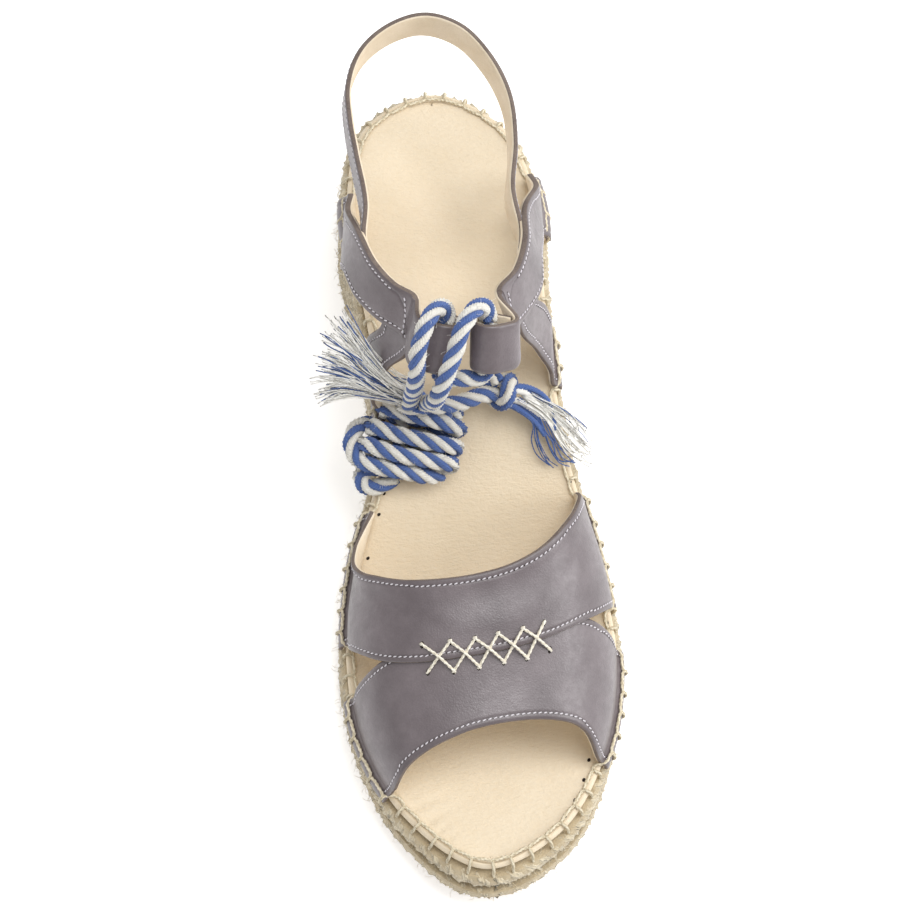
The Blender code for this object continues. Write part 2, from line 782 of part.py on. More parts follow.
def make_frayed_end(name, root, locks, look):
    """A frayed rope end: locks of yarn that part from one root."""
    knob = rounded_block(name, (1.1 * ROPE, 1.1 * ROPE, 1.1 * ROPE), 1.0, 12, look)
    knob.location = Vector(root) * MM
    tubes = []
    for k, route in enumerate(locks):
        tube = rope_tube("%s_lock_%d" % (name, k), (root, *route), look, 8, (LOCK_ROOT, LOCK_TIP))
        tubes.append(as_mesh(tube))
    return join_pieces(knob, tubes)


def rounded_block(name, size, power, segments, look):
    """A ball pulled out to a block with soft round edges."""
    work = bmesh.new()
    bmesh.ops.create_uvsphere(work, u_segments=segments, v_segments=segments // 2, radius=1.0)
    for vertex in work.verts:
        spot = [math.copysign(abs(v) ** power, v) if abs(v) > 1e-6 else 0.0 for v in vertex.co]
        vertex.co = Vector(spot[k] * size[k] / 2 for k in range(3))
    mesh = bpy.data.meshes.new(name)
    work.to_mesh(mesh)
    work.free()
    mesh.shade_smooth()
    return add_object(name, mesh, look)


def make_hank(look):
    """The wound lace as one solid, lying on the slope of the footbed."""
    hank = rounded_block("lace_hank", (HANK_WIDTH, HANK_LENGTH, HANK_THICKNESS), 0.84, 20, look)
    x, y = (v * MM for v in HANK_PLACE)
    step = 5 * MM
    slope = math.atan2(bed_height(y + step) - bed_height(y - step), 2 * step)
    lift = (HANK_THICKNESS / 2 + HANK_CLEARANCE) / math.cos(slope)
    tilt = Matrix.Rotation(slope, 4, "X") @ Matrix.Rotation(HANK_TURN, 4, "Z")
    hank.matrix_world = Matrix.Translation((x, y, bed_height(y) + lift)) @ tilt
    return hank


def make_knot(look):
    knot = rounded_block("lace_knot", [v * MM for v in KNOT_SIZE], 0.85, 14, look)
    knot.location = Vector(KNOT_PLACE) * MM
    return knot


for old in list(bpy.data.objects):
    bpy.data.objects.remove(old)
PARTS = collection("espadrille sandal")
LEATHER = material("leather", (0.22, 0.18, 0.20), 0.45)
COVER = material("footbed leather", (0.85, 0.68, 0.46), 0.6)
JUTE = material("jute", (0.58, 0.46, 0.29), 0.95)
RUBBER = material("rubber", (0.45, 0.33, 0.20), 0.8)
COTTON = material("cotton rope", (0.35, 0.42, 0.62), 0.9)

make_outsole(RUBBER)
make_wedge(JUTE)
make_top_row(JUTE)
make_footbed(COVER)
make_vamp(LEATHER)
make_rear_upper(LEATHER)
rope_tube("lace_bar", LACE_BAR, COTTON, 18)
rope_tube("lace_loop_inner", LOOP_INNER, COTTON, 18)
rope_tube("lace_loop_outer", LOOP_OUTER, COTTON, 19)
rope_tube("lace_tail", TAIL, COTTON, 5)
make_hank(COTTON)
make_knot(COTTON)
make_frayed_end("lace_end_inner", INNER_ROOT, INNER_LOCKS, COTTON)
make_frayed_end("lace_end_outer", OUTER_ROOT, OUTER_LOCKS, COTTON)
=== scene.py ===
import math

import bpy
import numpy as np
from mathutils import Matrix, Vector
from mathutils.bvhtree import BVHTree


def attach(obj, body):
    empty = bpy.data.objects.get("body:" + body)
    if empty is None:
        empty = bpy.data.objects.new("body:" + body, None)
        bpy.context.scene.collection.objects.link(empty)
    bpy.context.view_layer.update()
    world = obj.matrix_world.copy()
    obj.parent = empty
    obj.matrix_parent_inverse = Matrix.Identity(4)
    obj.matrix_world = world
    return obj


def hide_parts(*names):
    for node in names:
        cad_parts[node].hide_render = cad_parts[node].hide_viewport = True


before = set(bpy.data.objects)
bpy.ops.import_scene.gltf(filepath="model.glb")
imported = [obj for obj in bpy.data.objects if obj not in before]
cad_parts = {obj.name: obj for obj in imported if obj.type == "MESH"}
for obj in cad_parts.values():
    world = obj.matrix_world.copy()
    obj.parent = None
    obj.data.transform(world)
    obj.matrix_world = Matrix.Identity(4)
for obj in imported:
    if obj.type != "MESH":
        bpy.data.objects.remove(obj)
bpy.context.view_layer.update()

MM = 0.001


# Outsole
# A sheet of tan crepe rubber, cut to the sole's outline and glued under the jute. Its edge is left
# as the knife leaves it, dull and a little crumbly.

def srgb(red, green, blue):
    """A colour given as a screen shows it, 0 to 255, in the linear values that shaders take."""
    shares = np.array([red, green, blue]) / 255
    linear = np.where(shares <= 0.04045, shares / 12.92, ((shares + 0.055) / 1.055) ** 2.4)
    return (*[float(v) for v in linear], 1.0)


def add(tree, kind, inputs=None, **settings):
    """A node with its settings; each input is a value or another node's output."""
    made = tree.nodes.new(kind)
    for name, value in settings.items():
        setattr(made, name, value)
    for key, value in (inputs or {}).items():
        if isinstance(value, bpy.types.NodeSocket):
            tree.links.new(value, made.inputs[key])
        else:
            made.inputs[key].default_value = value
    return made


def calculate(tree, operation, *values):
    """The output of a Math node on values or outputs."""
    return add(tree, "ShaderNodeMath", dict(enumerate(values)), operation=operation).outputs[0]


def effect(name, inputs, outputs):
    """An empty shader node group with named sockets, and its two end nodes."""
    group = bpy.data.node_groups.new(name, "ShaderNodeTree")
    for label, kind, value in inputs:
        socket = group.interface.new_socket(label, in_out="INPUT", socket_type=kind)
        if value is not None:
            socket.default_value = value
    for label in outputs:
        group.interface.new_socket(label, in_out="OUTPUT", socket_type="NodeSocketFloat")
    return group, group.nodes.new("NodeGroupInput"), group.nodes.new("NodeGroupOutput")


def mottle_effect():
    """Uneven tone, as dye and handling leave it: 0 to 1 in soft patches of one size."""
    inputs = (("Place", "NodeSocketVector", None), ("Size", "NodeSocketFloat", 10 * MM))
    group, start, end = effect("mottle", inputs, ("Tone",))
    scale = calculate(group, "DIVIDE", 1.0, start.outputs["Size"])
    patches = add(group, "ShaderNodeTexNoise",
                  {"Vector": start.outputs["Place"], "Scale": scale, "Detail": 4.0, "Roughness": 0.6})
    spread = add(group, "ShaderNodeMapRange",
                 {"Value": patches.outputs["Fac"], "From Min": 0.3, "From Max": 0.7})
    group.links.new(spread.outputs["Result"], end.inputs["Tone"])
    return group


MOTTLE = mottle_effect()


def placed(tree, group, inputs):
    """What an effect puts out when it is placed in a material with its own values."""
    return add(tree, "ShaderNodeGroup", inputs, node_tree=group).outputs[0]


def mottle(tree, place, size):
    return placed(tree, MOTTLE, {"Place": place, "Size": size})


def between(tree, share, one, two):
    """A colour between two, at a share from 0 to 1."""
    return add(tree, "ShaderNodeMix", {0: share, 6: one, 7: two}, data_type="RGBA").outputs[2]


def tint(tree, base, mask, amount, colour):
    """A base colour turned towards another where a mask is 1, by no more than an amount."""
    return between(tree, calculate(tree, "MULTIPLY", mask, amount), base, colour)


def inverted(tree, value):
    return calculate(tree, "SUBTRACT", 1.0, value)


def start_material(name, roughness):
    look = bpy.data.materials.new(name)
    look.use_nodes = True
    shader = look.node_tree.nodes["Principled BSDF"]
    shader.inputs["Roughness"].default_value = roughness
    return look, look.node_tree, shader


def object_place(tree):
    return add(tree, "ShaderNodeTexCoord").outputs["Object"]


def finish_material(tree, shader, colour, height, depth):
    """Joins a colour and a bump of a given depth to the shader."""
    tree.links.new(colour, shader.inputs["Base Color"])
    bump = add(tree, "ShaderNodeBump", {"Strength": 1.0, "Distance": depth, "Height": height})
    tree.links.new(bump.outputs["Normal"], shader.inputs["Normal"])


def crepe_rubber():
    look, tree, shader = start_material("crepe rubber", 0.85)
    place = object_place(tree)
    tone = mottle(tree, place, 6 * MM)
    crumb = mottle(tree, place, 0.9 * MM)
    colour = between(tree, tone, srgb(138, 112, 80), srgb(168, 142, 106))
    finish_material(tree, shader, colour, crumb, 0.2 * MM)
    return look


def dress(node, look):
    """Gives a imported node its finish."""
    for place in bpy.data.objects[node].material_slots:
        place.material = look


dress("outsole", crepe_rubber())


# Jute sole
# Rows of three-strand jute braid, wound round the sole edge up and sewn through: level rows that the
# slope of the footbed cuts off, and one row that follows the footbed all the way round.

FOOTBED_LENGTH = 253 * MM
BALL_WIDTH = 87.3 * MM
HEEL_HEIGHT = 58 * MM
FOREFOOT_HEIGHT = 21 * MM
TOE_SPRING = 6 * MM
TOE_SPRING_START = 0.78
OUTSOLE_THICKNESS = 3.0 * MM
FOOTBED_THICKNESS = 4.5 * MM
JUTE_ROW = 6.6 * MM
JUTE_BULGE = 2.5 * MM
JUTE_TOE_FLARE = 5.0 * MM
GAP = 0.35 * MM
HALF_LENGTH = FOOTBED_LENGTH / 2

BRAID_REPEAT = 16.0 * MM
BRAID_HALF_WIDTH = 2.0 * MM
BRAID_HALF_DEPTH = 1.0 * MM
BRAID_SUNK = 1.9 * MM
JUTE_STRAND = 1.5 * MM
STRAND_TWIST = 8 * MM
EDGE_STEP = 0.7 * MM

# The footbed's outline, clockwise from the heel as seen from above.
# Columns: name, share of the footbed's length from the heel, share of the ball's width (+ outwards)
OUTLINE = (
    ("heel back", 0.000, 0.020),
    ("heel inner corner", 0.038, -0.252),
    ("heel inner side", 0.142, -0.347),
    ("heel inner front", 0.253, -0.326),
    ("waist inner", 0.383, -0.289),
    ("waist inner front", 0.482, -0.315),
    ("ball inner rear", 0.593, -0.430),
    ("ball inner", 0.719, -0.486),
    ("toe inner rear", 0.826, -0.456),
    ("toe inner corner", 0.925, -0.321),
    ("toe tip", 1.000, -0.040),
    ("toe outer corner", 0.962, 0.229),
    ("toe outer rear", 0.866, 0.430),
    ("ball outer", 0.723, 0.518),
    ("ball outer rear", 0.613, 0.483),
    ("waist outer", 0.466, 0.392),
    ("heel outer front", 0.277, 0.355),
    ("heel outer side", 0.158, 0.360),
    ("heel outer corner", 0.053, 0.263),
)

# Columns: name, share of length from the heel, footbed's height between forefoot (0) and heel (1),
# the last's height above the footbed as a share of the instep height
SECTIONS = (
    ("heel", 0.00, 1.00, 0.95),
    ("heel seat", 0.17, 0.99, 1.00),
    ("arch rear", 0.30, 0.87, 1.00),
    ("arch", 0.43, 0.56, 0.93),
    ("arch front", 0.56, 0.18, 0.80),
    ("ball rear", 0.66, 0.02, 0.635),
    ("ball", 0.75, 0.00, 0.515),
    ("toe rear", 0.85, 0.00, 0.425),
    ("toe", 1.00, 0.00, 0.30),
)


def hermite(xs, ys, x):
    """Smooth value at x through a table's points, with tangents from the neighbours."""
    xs, ys = np.asarray(xs, float), np.asarray(ys, float)
    slopes = np.gradient(ys, xs)
    k = np.clip(np.searchsorted(xs, x) - 1, 0, len(xs) - 2)
    step = xs[k + 1] - xs[k]
    t = np.clip((x - xs[k]) / step, 0.0, 1.0)
    value = (2 * t**3 - 3 * t**2 + 1) * ys[k] + (t**3 - 2 * t**2 + t) * step * slopes[k]
    return value + (3 * t**2 - 2 * t**3) * ys[k + 1] + (t**3 - t**2) * step * slopes[k + 1]


def run_along(points):
    """Distance along a line at each of its points."""
    return np.concatenate([[0.0], np.cumsum(np.linalg.norm(np.diff(points, axis=0), axis=1))])


def smooth_path(points, count, closed=False, crowd=0.0):
    """count points along a smooth curve through the given ones: evenly spaced, or with crowd
    above 0 closer together towards both ends."""
    points = np.asarray(points, float)
    if closed:
        points = np.vstack([points[-3:], points, points[:4]])
    at = run_along(points)
    first, last = (at[3], at[-4]) if closed else (at[0], at[-1])
    fine = np.linspace(first, last, 24 * len(points))
    dense = np.stack([hermite(at, points[:, k], fine) for k in range(points.shape[1])], axis=1)
    run = run_along(dense)
    even = np.linspace(0.0, 1.0, count)
    wanted = run[-1] * (even - crowd * np.sin(2 * np.pi * even) / (2 * np.pi))
    return np.stack([np.interp(wanted, run, dense[:, k]) for k in range(dense.shape[1])], axis=1)


def place_along(share):
    return HALF_LENGTH - share * FOOTBED_LENGTH


def share_along(y):
    return (HALF_LENGTH - y) / FOOTBED_LENGTH


def outline_sides():
    """The footbed's inner and outer edge, each from the heel's back to the toe's tip."""
    corners = [(share * BALL_WIDTH, place_along(along)) for _, along, share in OUTLINE]
    loop = smooth_path(corners, 900, closed=True)[:-1]
    back, tip = int(np.argmax(loop[:, 1])), int(np.argmin(loop[:, 1]))
    loop = np.roll(loop, -back, axis=0)
    tip = (tip - back) % len(loop)
    return loop[: tip + 1], np.vstack([loop[tip:], loop[:1]])[::-1]


INNER_EDGE, OUTER_EDGE = outline_sides()
HEEL_Y, TOE_Y = INNER_EDGE[0, 1], INNER_EDGE[-1, 1]


def edge_loop():
    """The footbed's edge from the toe's tip round the heel and back: points, outward directions."""
    loop = np.vstack([INNER_EDGE[::-1], OUTER_EDGE[1:]])
    run = run_along(loop)
    wanted = np.linspace(0.0, run[-1], int(run[-1] / EDGE_STEP))
    points = np.stack([np.interp(wanted, run, loop[:, k]) for k in range(2)], axis=1)
    along = np.gradient(np.vstack([points[-3:-1], points, points[1:3]]), axis=0)[2:-2]
    along /= np.linalg.norm(along, axis=1)[:, None]
    return points, np.stack([-along[:, 1], along[:, 0]], axis=1)


def toe_lift(y):
    share = (share_along(y) - TOE_SPRING_START) / (1 - TOE_SPRING_START)
    return TOE_SPRING * np.clip(share, 0.0, 1.3) ** 2


def bed_height(y):
    share = hermite([s[1] for s in SECTIONS], [s[2] for s in SECTIONS], share_along(y))
    return FOREFOOT_HEIGHT + (HEEL_HEIGHT - FOREFOOT_HEIGHT) * share + toe_lift(y)


def wedge_top(y):
    return bed_height(y) - FOOTBED_THICKNESS - JUTE_ROW - 2 * GAP


def toe_flare(y):
    """How far the jute stands out further round the toe, from 0 at its sides to 1 at its tip."""
    return np.clip((share_along(y) - 0.80) / 0.20, 0.0, 1.0) ** 1.6


def carried_frame(path):
    """Two directions square to a line at each point, carried along it without turning."""
    tangents = np.gradient(path, axis=0)
    tangents /= np.linalg.norm(tangents, axis=1)[:, None]
    start = np.cross(tangents[0], (0.0, 0.0, 1.0))
    if np.linalg.norm(start) < 0.1:
        start = np.cross(tangents[0], (1.0, 0.0, 0.0))
    sides = np.empty_like(path)
    for k, tangent in enumerate(tangents):
        start = start - tangent * (start @ tangent)
        start /= np.linalg.norm(start)
        sides[k] = start
    return sides, np.cross(tangents, sides)


def twisted_strand(path, radius, lobes=0, depth=0.0, pitch=1.0, sides=8):
    """A strand round a line: a round or lobed section that turns once in each pitch.
    Gives its points, faces and the faces' UV places, along and round the strand in metres."""
    path = np.asarray(path, float)
    across, up = carried_frame(path)
    run = run_along(path)
    spots = 2 * np.pi * np.arange(sides) / sides
    turned = spots[None, :] + (2 * np.pi * run / pitch)[:, None]
    wide = np.broadcast_to(np.asarray(radius, float), (len(path),))[:, None]
    wide = wide * (1 + depth * np.cos(lobes * spots))[None, :]
    ring = path[:, None, :] + (wide * np.cos(turned))[:, :, None] * across[:, None, :]
    ring = ring + (wide * np.sin(turned))[:, :, None] * up[:, None, :]
    high = len(path)
    points = np.vstack([ring.reshape(-1, 3), path[:1], path[-1:]])
    r, s = np.meshgrid(np.arange(high - 1), np.arange(sides), indexing="ij")
    r, s = r.ravel(), s.ravel()
    after = (s + 1) % sides
    low, high_ring = r * sides, (r + 1) * sides
    faces = np.stack([low + s, low + after, high_ring + after, high_ring + s], axis=1)
    girth = 2 * np.pi * float(np.mean(radius)) / sides
    along = np.stack([run[r], run[r], run[r + 1], run[r + 1]], axis=1)
    round_it = np.stack([s, s + 1, s + 1, s], axis=1) * girth
    uv = np.stack([along, round_it], axis=2)
    caps = []
    for k in range(sides):
        caps.append((high * sides, (k + 1) % sides, k))
        caps.append((high * sides + 1, (high - 1) * sides + k, (high - 1) * sides + (k + 1) % sides))
    flat = uv.reshape(-1, 2).tolist() + [(0.0, 0.0)] * (3 * len(caps))
    return points, faces.tolist() + caps, flat


def put_in_scene(name, data):
    made = bpy.data.objects.new(name, data)
    bpy.context.scene.collection.objects.link(made)
    return made


def mesh_object(name, points, faces, uv, looks, look_of, marks=None):
    """An object from a mesh, with the UV places of its faces' corners, the number of each face's
    look, and named distances at its points."""
    mesh = bpy.data.meshes.new(name)
    mesh.from_pydata(points.tolist(), [], faces)
    mesh.uv_layers.new(name="UVMap").data.foreach_set("uv", np.asarray(uv, float).ravel())
    for look in looks:
        mesh.materials.append(look)
    mesh.polygons.foreach_set("material_index", look_of)
    for label, values in (marks or {}).items():
        mesh.attributes.new(label, "FLOAT", "POINT").data.foreach_set("value", values)
    mesh.shade_smooth()
    return put_in_scene(name, mesh)


def mesh_piece(name, parts, looks):
    """One object from parts of (points, faces, UV of the faces' corners, number of its look)."""
    points, faces, uv, look_of = [], [], [], []
    start = 0
    for spots, sides, corners, look in parts:
        points.append(spots)
        faces += [tuple(v + start for v in side) for side in sides]
        uv += corners
        look_of += [look] * len(sides)
        start += len(spots)
    return mesh_object(name, np.vstack(points), faces, uv, looks, look_of)


def keep(piece, finish, *nodes):
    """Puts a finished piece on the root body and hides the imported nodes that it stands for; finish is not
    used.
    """
    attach(piece, "root")
    if nodes:
        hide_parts(*nodes)
    return piece


def twist_effect():
    """The slanting lines of twisted yarn on a strand's UV map: 0 in the grooves to 1 on the yarns."""
    inputs = (
        ("Place", "NodeSocketVector", None),
        ("Lines", "NodeSocketVector", (100.0, 100.0, 0.0)),
        ("Waver", "NodeSocketFloat", 0.5),
    )
    group, start, end = effect("yarn twist", inputs, ("Line",))
    count = add(group, "ShaderNodeVectorMath",
                {0: start.outputs["Place"], 1: start.outputs["Lines"]}, operation="DOT_PRODUCT")
    noise = add(group, "ShaderNodeTexNoise", {"Vector": start.outputs["Place"], "Scale": 400.0})
    waver = calculate(group, "MULTIPLY", noise.outputs["Fac"], start.outputs["Waver"])
    turn = calculate(group, "MULTIPLY", calculate(group, "ADD", count.outputs["Value"], waver), 2 * math.pi)
    line = calculate(group, "MULTIPLY_ADD", calculate(group, "SINE", turn), 0.5, 0.5)
    group.links.new(line, end.inputs["Line"])
    return group


TWIST = twist_effect()


def yarn_lines(tree, lines, waver):
    """Yarn lines on the strand's own UV: lines is how many cross a metre along and a metre round."""
    place = add(tree, "ShaderNodeTexCoord").outputs["UV"]
    return placed(tree, TWIST, {"Place": place, "Lines": (*lines, 0.0), "Waver": waver})


def jute_yarn(name, dark, light):
    look, tree, shader = start_material(name, 0.95)
    place = object_place(tree)
    tone = mottle(tree, place, 9 * MM)
    fibre = mottle(tree, place, 0.7 * MM)
    line = yarn_lines(tree, (520.0, 760.0), 1.2)
    base = between(tree, tone, dark, light)
    # Painted highlight on the raised yarn lines and painted shade where the fibre mottle sinks the bump.
    colour = tint(tree, base, line, 0.4, srgb(236, 226, 202))
    colour = tint(tree, colour, inverted(tree, fibre), 0.35, srgb(150, 132, 102))
    finish_material(tree, shader, colour, calculate(tree, "MULTIPLY_ADD", fibre, 0.6, line), 0.25 * MM)
    shader.inputs["Sheen Weight"].default_value = 0.25
    shader.inputs["Sheen Roughness"].default_value = 0.6
    return look


JUTE = jute_yarn("jute braid", srgb(206, 191, 160), srgb(227, 215, 188))
JUTE_DARK = jute_yarn("jute in shade", srgb(176, 158, 126), srgb(198, 182, 150))
FIBRE = jute_yarn("jute fibre", srgb(214, 200, 170), srgb(238, 228, 204))
dress("jute_wedge", JUTE_DARK)
dress("jute_top_row", JUTE_DARK)

EDGE, EDGE_OUT = edge_loop()


def braid_row(away, height, squeeze):
    """Three strands of jute plaited along the sole's edge, at a distance out and a height for each
    point of it; squeeze flattens the braid where there is less room than a row needs."""
    kept = squeeze > 0.3
    centre = np.column_stack([EDGE + EDGE_OUT * away[:, None], height])[kept]
    out = np.column_stack([EDGE_OUT, np.zeros(len(EDGE))])[kept]
    room = squeeze[kept]
    run = run_along(centre)
    repeats = round(run[-1] / BRAID_REPEAT)
    strands = []
    for k in range(3):
        turn = 2 * np.pi * (run / run[-1] * repeats + k / 3)
        path = centre + out * (BRAID_HALF_DEPTH * np.sin(2 * turn))[:, None]
        path[:, 2] += BRAID_HALF_WIDTH * room * np.sin(turn)
        path = path + 0.12 * MM * np.sin(run / (1.9 * MM) + 5 * k)[:, None]
        radius = JUTE_STRAND * room**0.6 * (1 + 0.06 * np.sin(run / (6.3 * MM) + k))
        strands.append((*twisted_strand(path[::2], radius[::2], 3, 0.13, STRAND_TWIST, 8), 0))
    return strands


def wedge_rows():
    """The level rows between the outsole and the row under the footbed."""
    y = EDGE[:, 1]
    room = wedge_top(y) - toe_lift(y) - OUTSOLE_THICKNESS - GAP
    sunk = JUTE_BULGE + JUTE_TOE_FLARE * toe_flare(y) - BRAID_SUNK
    rows = []
    for k in range(int(np.max(room) / JUTE_ROW) + 1):
        squeeze = np.clip((room - k * JUTE_ROW) / JUTE_ROW, 0.0, 1.0)
        low = toe_lift(y) + OUTSOLE_THICKNESS + GAP + k * JUTE_ROW
        rows += braid_row(sunk, low + squeeze * JUTE_ROW / 2, squeeze)
    return rows


def top_row():
    y = EDGE[:, 1]
    sunk = JUTE_BULGE + 0.45 * JUTE_TOE_FLARE * toe_flare(y) - BRAID_SUNK
    return braid_row(sunk, wedge_top(y) + GAP + JUTE_ROW / 2, np.ones(len(y)))


def start_tree(name, takes, sizes, gives):
    """An empty Geometry Nodes tree with named inputs for its sizes and its look, and its start."""
    tree = bpy.data.node_groups.new(name, "GeometryNodeTree")
    face = tree.interface
    face.new_socket(takes, in_out="INPUT", socket_type="NodeSocketGeometry")
    for size in sizes:
        face.new_socket(size, in_out="INPUT", socket_type="NodeSocketFloat")
    face.new_socket("Look", in_out="INPUT", socket_type="NodeSocketMaterial")
    face.new_socket(gives, in_out="OUTPUT", socket_type="NodeSocketGeometry")
    return tree, add(tree, "NodeGroupInput")


def end_tree(tree, start, instances):
    """Makes the instances plain, gives them the tree's look and puts them out."""
    plain = add(tree, "GeometryNodeRealizeInstances", {"Geometry": instances.outputs["Instances"]})
    dressed = add(tree, "GeometryNodeSetMaterial",
                  {"Geometry": plain.outputs["Geometry"], "Material": start.outputs["Look"]})
    tree.links.new(dressed.outputs["Geometry"], add(tree, "NodeGroupOutput").inputs[0])
    return tree


def fibre_tree():
    """Loose fibres that stand out of a surface, each a thin bent hair."""
    sizes = ("Per Square Metre", "Length", "Thickness")
    tree, start = start_tree("loose fibres", "Surface", sizes, "Fibres")
    spots = add(tree, "GeometryNodeDistributePointsOnFaces",
                {"Mesh": start.outputs["Surface"], "Density": start.outputs["Per Square Metre"], "Seed": 4})
    slim = calculate(tree, "DIVIDE", start.outputs["Thickness"], start.outputs["Length"])
    bend = add(tree, "GeometryNodeCurveQuadraticBezier",
               {"Resolution": 3, "Start": (0.0, 0.0, -0.1),
                "Middle": (0.1, 0.0, 0.7), "End": (0.8, 0.2, 0.6)})
    section = add(tree, "GeometryNodeCurvePrimitiveCircle", {"Resolution": 3, "Radius": slim})
    hair = add(tree, "GeometryNodeCurveToMesh",
               {"Curve": bend.outputs["Curve"], "Profile Curve": section.outputs["Curve"]})
    size = add(tree, "FunctionNodeRandomValue", {2: 0.4, 3: 1.5, "Seed": 9}, data_type="FLOAT")
    scale = calculate(tree, "MULTIPLY", size.outputs[1], start.outputs["Length"])
    planted = add(tree, "GeometryNodeInstanceOnPoints",
                  {"Points": spots.outputs["Points"], "Instance": hair.outputs["Mesh"],
                   "Rotation": spots.outputs["Rotation"], "Scale": scale})
    lean = add(tree, "FunctionNodeRandomValue",
               {0: (-0.9, -0.9, 0.0), 1: (0.9, 0.9, 6.28), "Seed": 2}, data_type="FLOAT_VECTOR")
    leant = add(tree, "GeometryNodeRotateInstances",
                {"Instances": planted.outputs["Instances"], "Rotation": lean.outputs[0]})
    return end_tree(tree, start, leant)


FIBRES = fibre_tree()


def grow(source, tree, name, values):
    """The plain mesh that a Geometry Nodes tree makes from a piece, as a piece of its own."""
    step = source.modifiers.new(tree.name, "NODES")
    step.node_group = tree
    for item in tree.interface.items_tree:
        if item.in_out == "INPUT" and item.name in values:
            step[item.identifier] = values[item.name]
    ready = source.evaluated_get(bpy.context.evaluated_depsgraph_get())
    mesh = bpy.data.meshes.new_from_object(ready)
    source.modifiers.remove(step)
    mesh.shade_smooth()
    return put_in_scene(name, mesh)


JUTE_FUZZ = {"Per Square Metre": 95000.0, "Length": 2.2 * MM, "Thickness": 0.05 * MM, "Look": FIBRE}
for row, strands in (("wedge", wedge_rows()), ("top", top_row())):
    braid = keep(mesh_piece("jute_braid_" + row, strands, [JUTE]), "jute")
    keep(grow(braid, FIBRES, "jute_fuzz_" + row, JUTE_FUZZ), "jute")


# Footbed
# A thin firm insole under a cover of pale natural leather. The cover is folded down over the edge,
# where it is sewn to the jute, and it is gathered in small puckers at the inner side of the toe.

FOOTBED_CUP = 1.4 * MM
COVER_STATIONS = 190
COVER_COLUMNS = 56

# The edge from the underside up to the flat of the footbed.
# Columns: distance out from the edge in millimetres, depth below the top in footbed thicknesses
COVER_EDGE = (
    (-0.2, 1.00),
    (0.1, 0.80),
    (0.35, 0.58),
    (0.35, 0.38),
    (0.05, 0.20),
    (-0.4, 0.09),
    (-0.9, 0.045),
    (-1.35, 0.07),
    (-1.75, 0.105),
    (-2.2, 0.06),
    (-2.8, 0.01),
    (-3.6, 0.00),
)

# Puckers of the cover. Columns: name, share of length of their middle, spread along the edge,
# depth, and distance between them, in millimetres
PUCKERS = (
    ("inner toe", 0.935, 19.0, 0.95, 5.2),
    ("inner side of the ball", 0.880, 12.0, 0.40, 4.4),
)


def edge_x(y, outer):
    side = OUTER_EDGE if outer else INNER_EDGE
    return np.interp(-y, -side[:, 1], side[:, 0])


def edge_frame(y, outer):
    """A point on the footbed's edge at y, and the direction straight out from it."""
    step = 1.5 * MM
    a, b = min(y + step, HEEL_Y), max(y - step, TOE_Y)
    along = np.array([edge_x(b, outer) - edge_x(a, outer), b - a])
    along /= np.linalg.norm(along)
    out = np.array([-along[1], along[0]]) if outer else np.array([along[1], -along[0]])
    return np.array([edge_x(y, outer), y]), out


def bed_top(x, y):
    """Height of the footbed's slightly hollow top."""
    middle = (edge_x(y, False) + edge_x(y, True)) / 2
    half = np.maximum((edge_x(y, True) - edge_x(y, False)) / 2 - 1.4 * MM, 1.0 * MM)
    u = np.clip((x - middle) / half, -1.0, 1.0)
    return bed_height(y) - FOOTBED_CUP * (1 - u * u)


def pucker_depth(x, y):
    """How far the gathered cover sinks between its puckers."""
    loop, run = EDGE[::2], run_along(EDGE)[::2]
    away = np.linalg.norm(np.stack([x, y], axis=-1)[:, None, :] - loop[None], axis=2)
    near = np.argmin(away, axis=1)
    distance, at = away[np.arange(len(x)), near], run[near]
    inner = loop[near, 0] < INNER_EDGE[-1, 0]
    sunk = np.zeros(len(x))
    for _, share, spread, depth, gap in PUCKERS:
        middle = at[inner][np.argmin(abs(share_along(loop[near, 1][inner]) - share))]
        window = np.exp(-((at - middle) / (spread * MM / 1.6)) ** 2)
        fade = np.clip((distance - 2.4 * MM) / (2.0 * MM), 0, 1) * np.exp(-distance / (5.0 * MM)) * 2.2
        wave = np.cos(2 * np.pi * (at / (gap * MM) + 0.18 * np.sin(at / (3.1 * MM)) + distance / (16 * MM)))
        sunk += depth * MM * window * fade * (1 - wave) / 2
    return sunk


